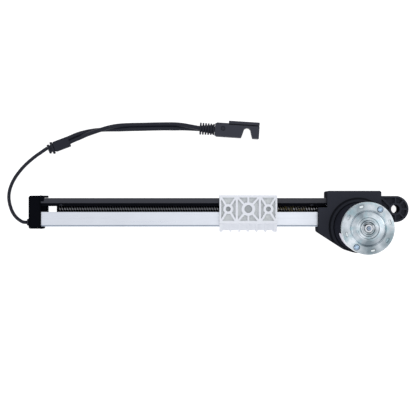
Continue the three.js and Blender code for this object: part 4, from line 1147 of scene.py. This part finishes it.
def carriage_pockets():
    """The three cells of the front face, each with a boss and four diagonal ribs left standing."""
    deep = (CARRIAGE_FLOOR, CARRIAGE_FRONT + 1)
    cells = []
    for x, radius, _ in BOSSES:
        low, high = cell_bounds(x)
        cell = prism(rounded((low, high), (CELL_LOW, CELL_HIGH), 0.9, 4), *deep)
        corners = [(end, side) for end in (low, high) for side in (CELL_LOW, CELL_HIGH)]
        ribs = [cross_rib((x, 0), corner, 2.5) for corner in corners]
        if x == 0:
            ribs.append(cross_rib((0, CELL_LOW), (0, CELL_HIGH), 2.2))
        foot, top = CARRIAGE_FLOOR - 1, CARRIAGE_FRONT + 2
        boss = turned([(0, foot), (radius + 0.4, foot), (radius, top), (0, top)], (x, 0), 64)
        cells.append(cut(cell, boss, *ribs))
    return cells


def make_carriage():
    """A moulded block round the rail, with ribs down its skirt and necks through the slot to the nut."""
    half = CARRIAGE_HALF
    shell = prism(outline([
        (CARRIAGE_BOTTOM, CARRIAGE_BACK, 1.5), (CARRIAGE_TOP, CARRIAGE_BACK, 1.5),
        (CARRIAGE_TOP, CARRIAGE_FRONT, 1.2), (PLATE_BOTTOM, CARRIAGE_FRONT, 1),
        (PLATE_BOTTOM, CARRIAGE_FRONT - 4), (CARRIAGE_BOTTOM, SKIRT_FRONT, 0.8),
    ]), -half, half, "x")
    tunnel = prism(outline([
        (RAIL_LOW.y - 0.5, RAIL_LOW.z - 0.5, 2.5), (COVER_HIGH.y + 0.5, RAIL_LOW.z - 0.5, 1),
        (COVER_HIGH.y + 0.5, COVER_HIGH.z + 0.6), (SLOT_HALF - 0.4, COVER_HIGH.z + 0.6),
        (SLOT_HALF - 0.4, RAIL_HIGH.z + 0.6), (RAIL_LOW.y - 0.5, RAIL_HIGH.z + 0.6, 2.5),
    ]), -half - 1, half + 1, "x")
    gusset = outline([
        (CARRIAGE_BOTTOM + 1, CARRIAGE_BACK), (RIB_TIP, CARRIAGE_BACK, 1), (RIB_TIP, RIB_FRONT, 0.8),
        (PLATE_BOTTOM, CARRIAGE_FRONT - 0.4), (PLATE_BOTTOM + 1, CARRIAGE_FRONT - 5),
    ])
    places = [(i * 11, 0.9) for i in (-2, -1, 0, 1, 2)] + [(-half + 2, 2), (half - 2, 2)]
    gussets = [prism(gusset, x - wide, x + wide, "x") for x, wide in places]
    neck_half = SLOT_HALF - 0.4
    necks = [block(ends, (-neck_half, neck_half), (30.9, CARRIAGE_FLOOR - 0.5))
             for ends in ((-30, -8.3), (8.3, 30))]
    holes = [rod("z", hole, (39.4, CARRIAGE_FRONT + 1), (x, 0), 64) for x, _, hole in BOSSES]
    shape = joined(cut(joined(shell, *gussets), tunnel), *necks)
    shape = moved(cut(shape, *carriage_pockets(), *holes), (CARRIAGE_X, 0, 0))
    piece("ribbed_carriage", shape, NYLON, "slider", ["carriage"], edge=0)


# ---- the assembly

make_cords()
make_rail()
make_cover_strip()
make_end_cap()
make_gland()
make_housing()
make_back_cover()
for i, place in enumerate(COVER_SCREWS):
    recessed_screw(f"plate_screw_{i + 1}", f"back_cover_screw_{i + 1}", place, 2.8, 1.3, (0.3, 1.5), 10, 1.4)
for i, place in enumerate(RAIL_SCREWS):
    recessed_screw(f"rail_bolt_{i + 1}", f"rail_screw_{i + 1}", place, 3, 1.5, (0.3, 2), 8.6, 1.5)
make_lead_screw()
make_end_bush()
make_motor_can()
make_motor_sleeve()
make_motor_end_cap()
make_slot_highlight_plates()
make_motor_bolts()
make_motor_shaft()
make_carriage()

# ---- finishes and soft edges of the CAD nodes

SOFT_EDGE = 0.12

for row in frame["record"]["subparts"]:
    node = frame["nodes"][row["node"]]
    node.data.materials.clear()
    node.data.materials.append(FINISHES[row["material_slot"]])
    softened = node.modifiers.new("edge", "BEVEL")
    softened.width = SOFT_EDGE * MM
    softened.limit_method = "ANGLE"
    softened.angle_limit = math.radians(38)
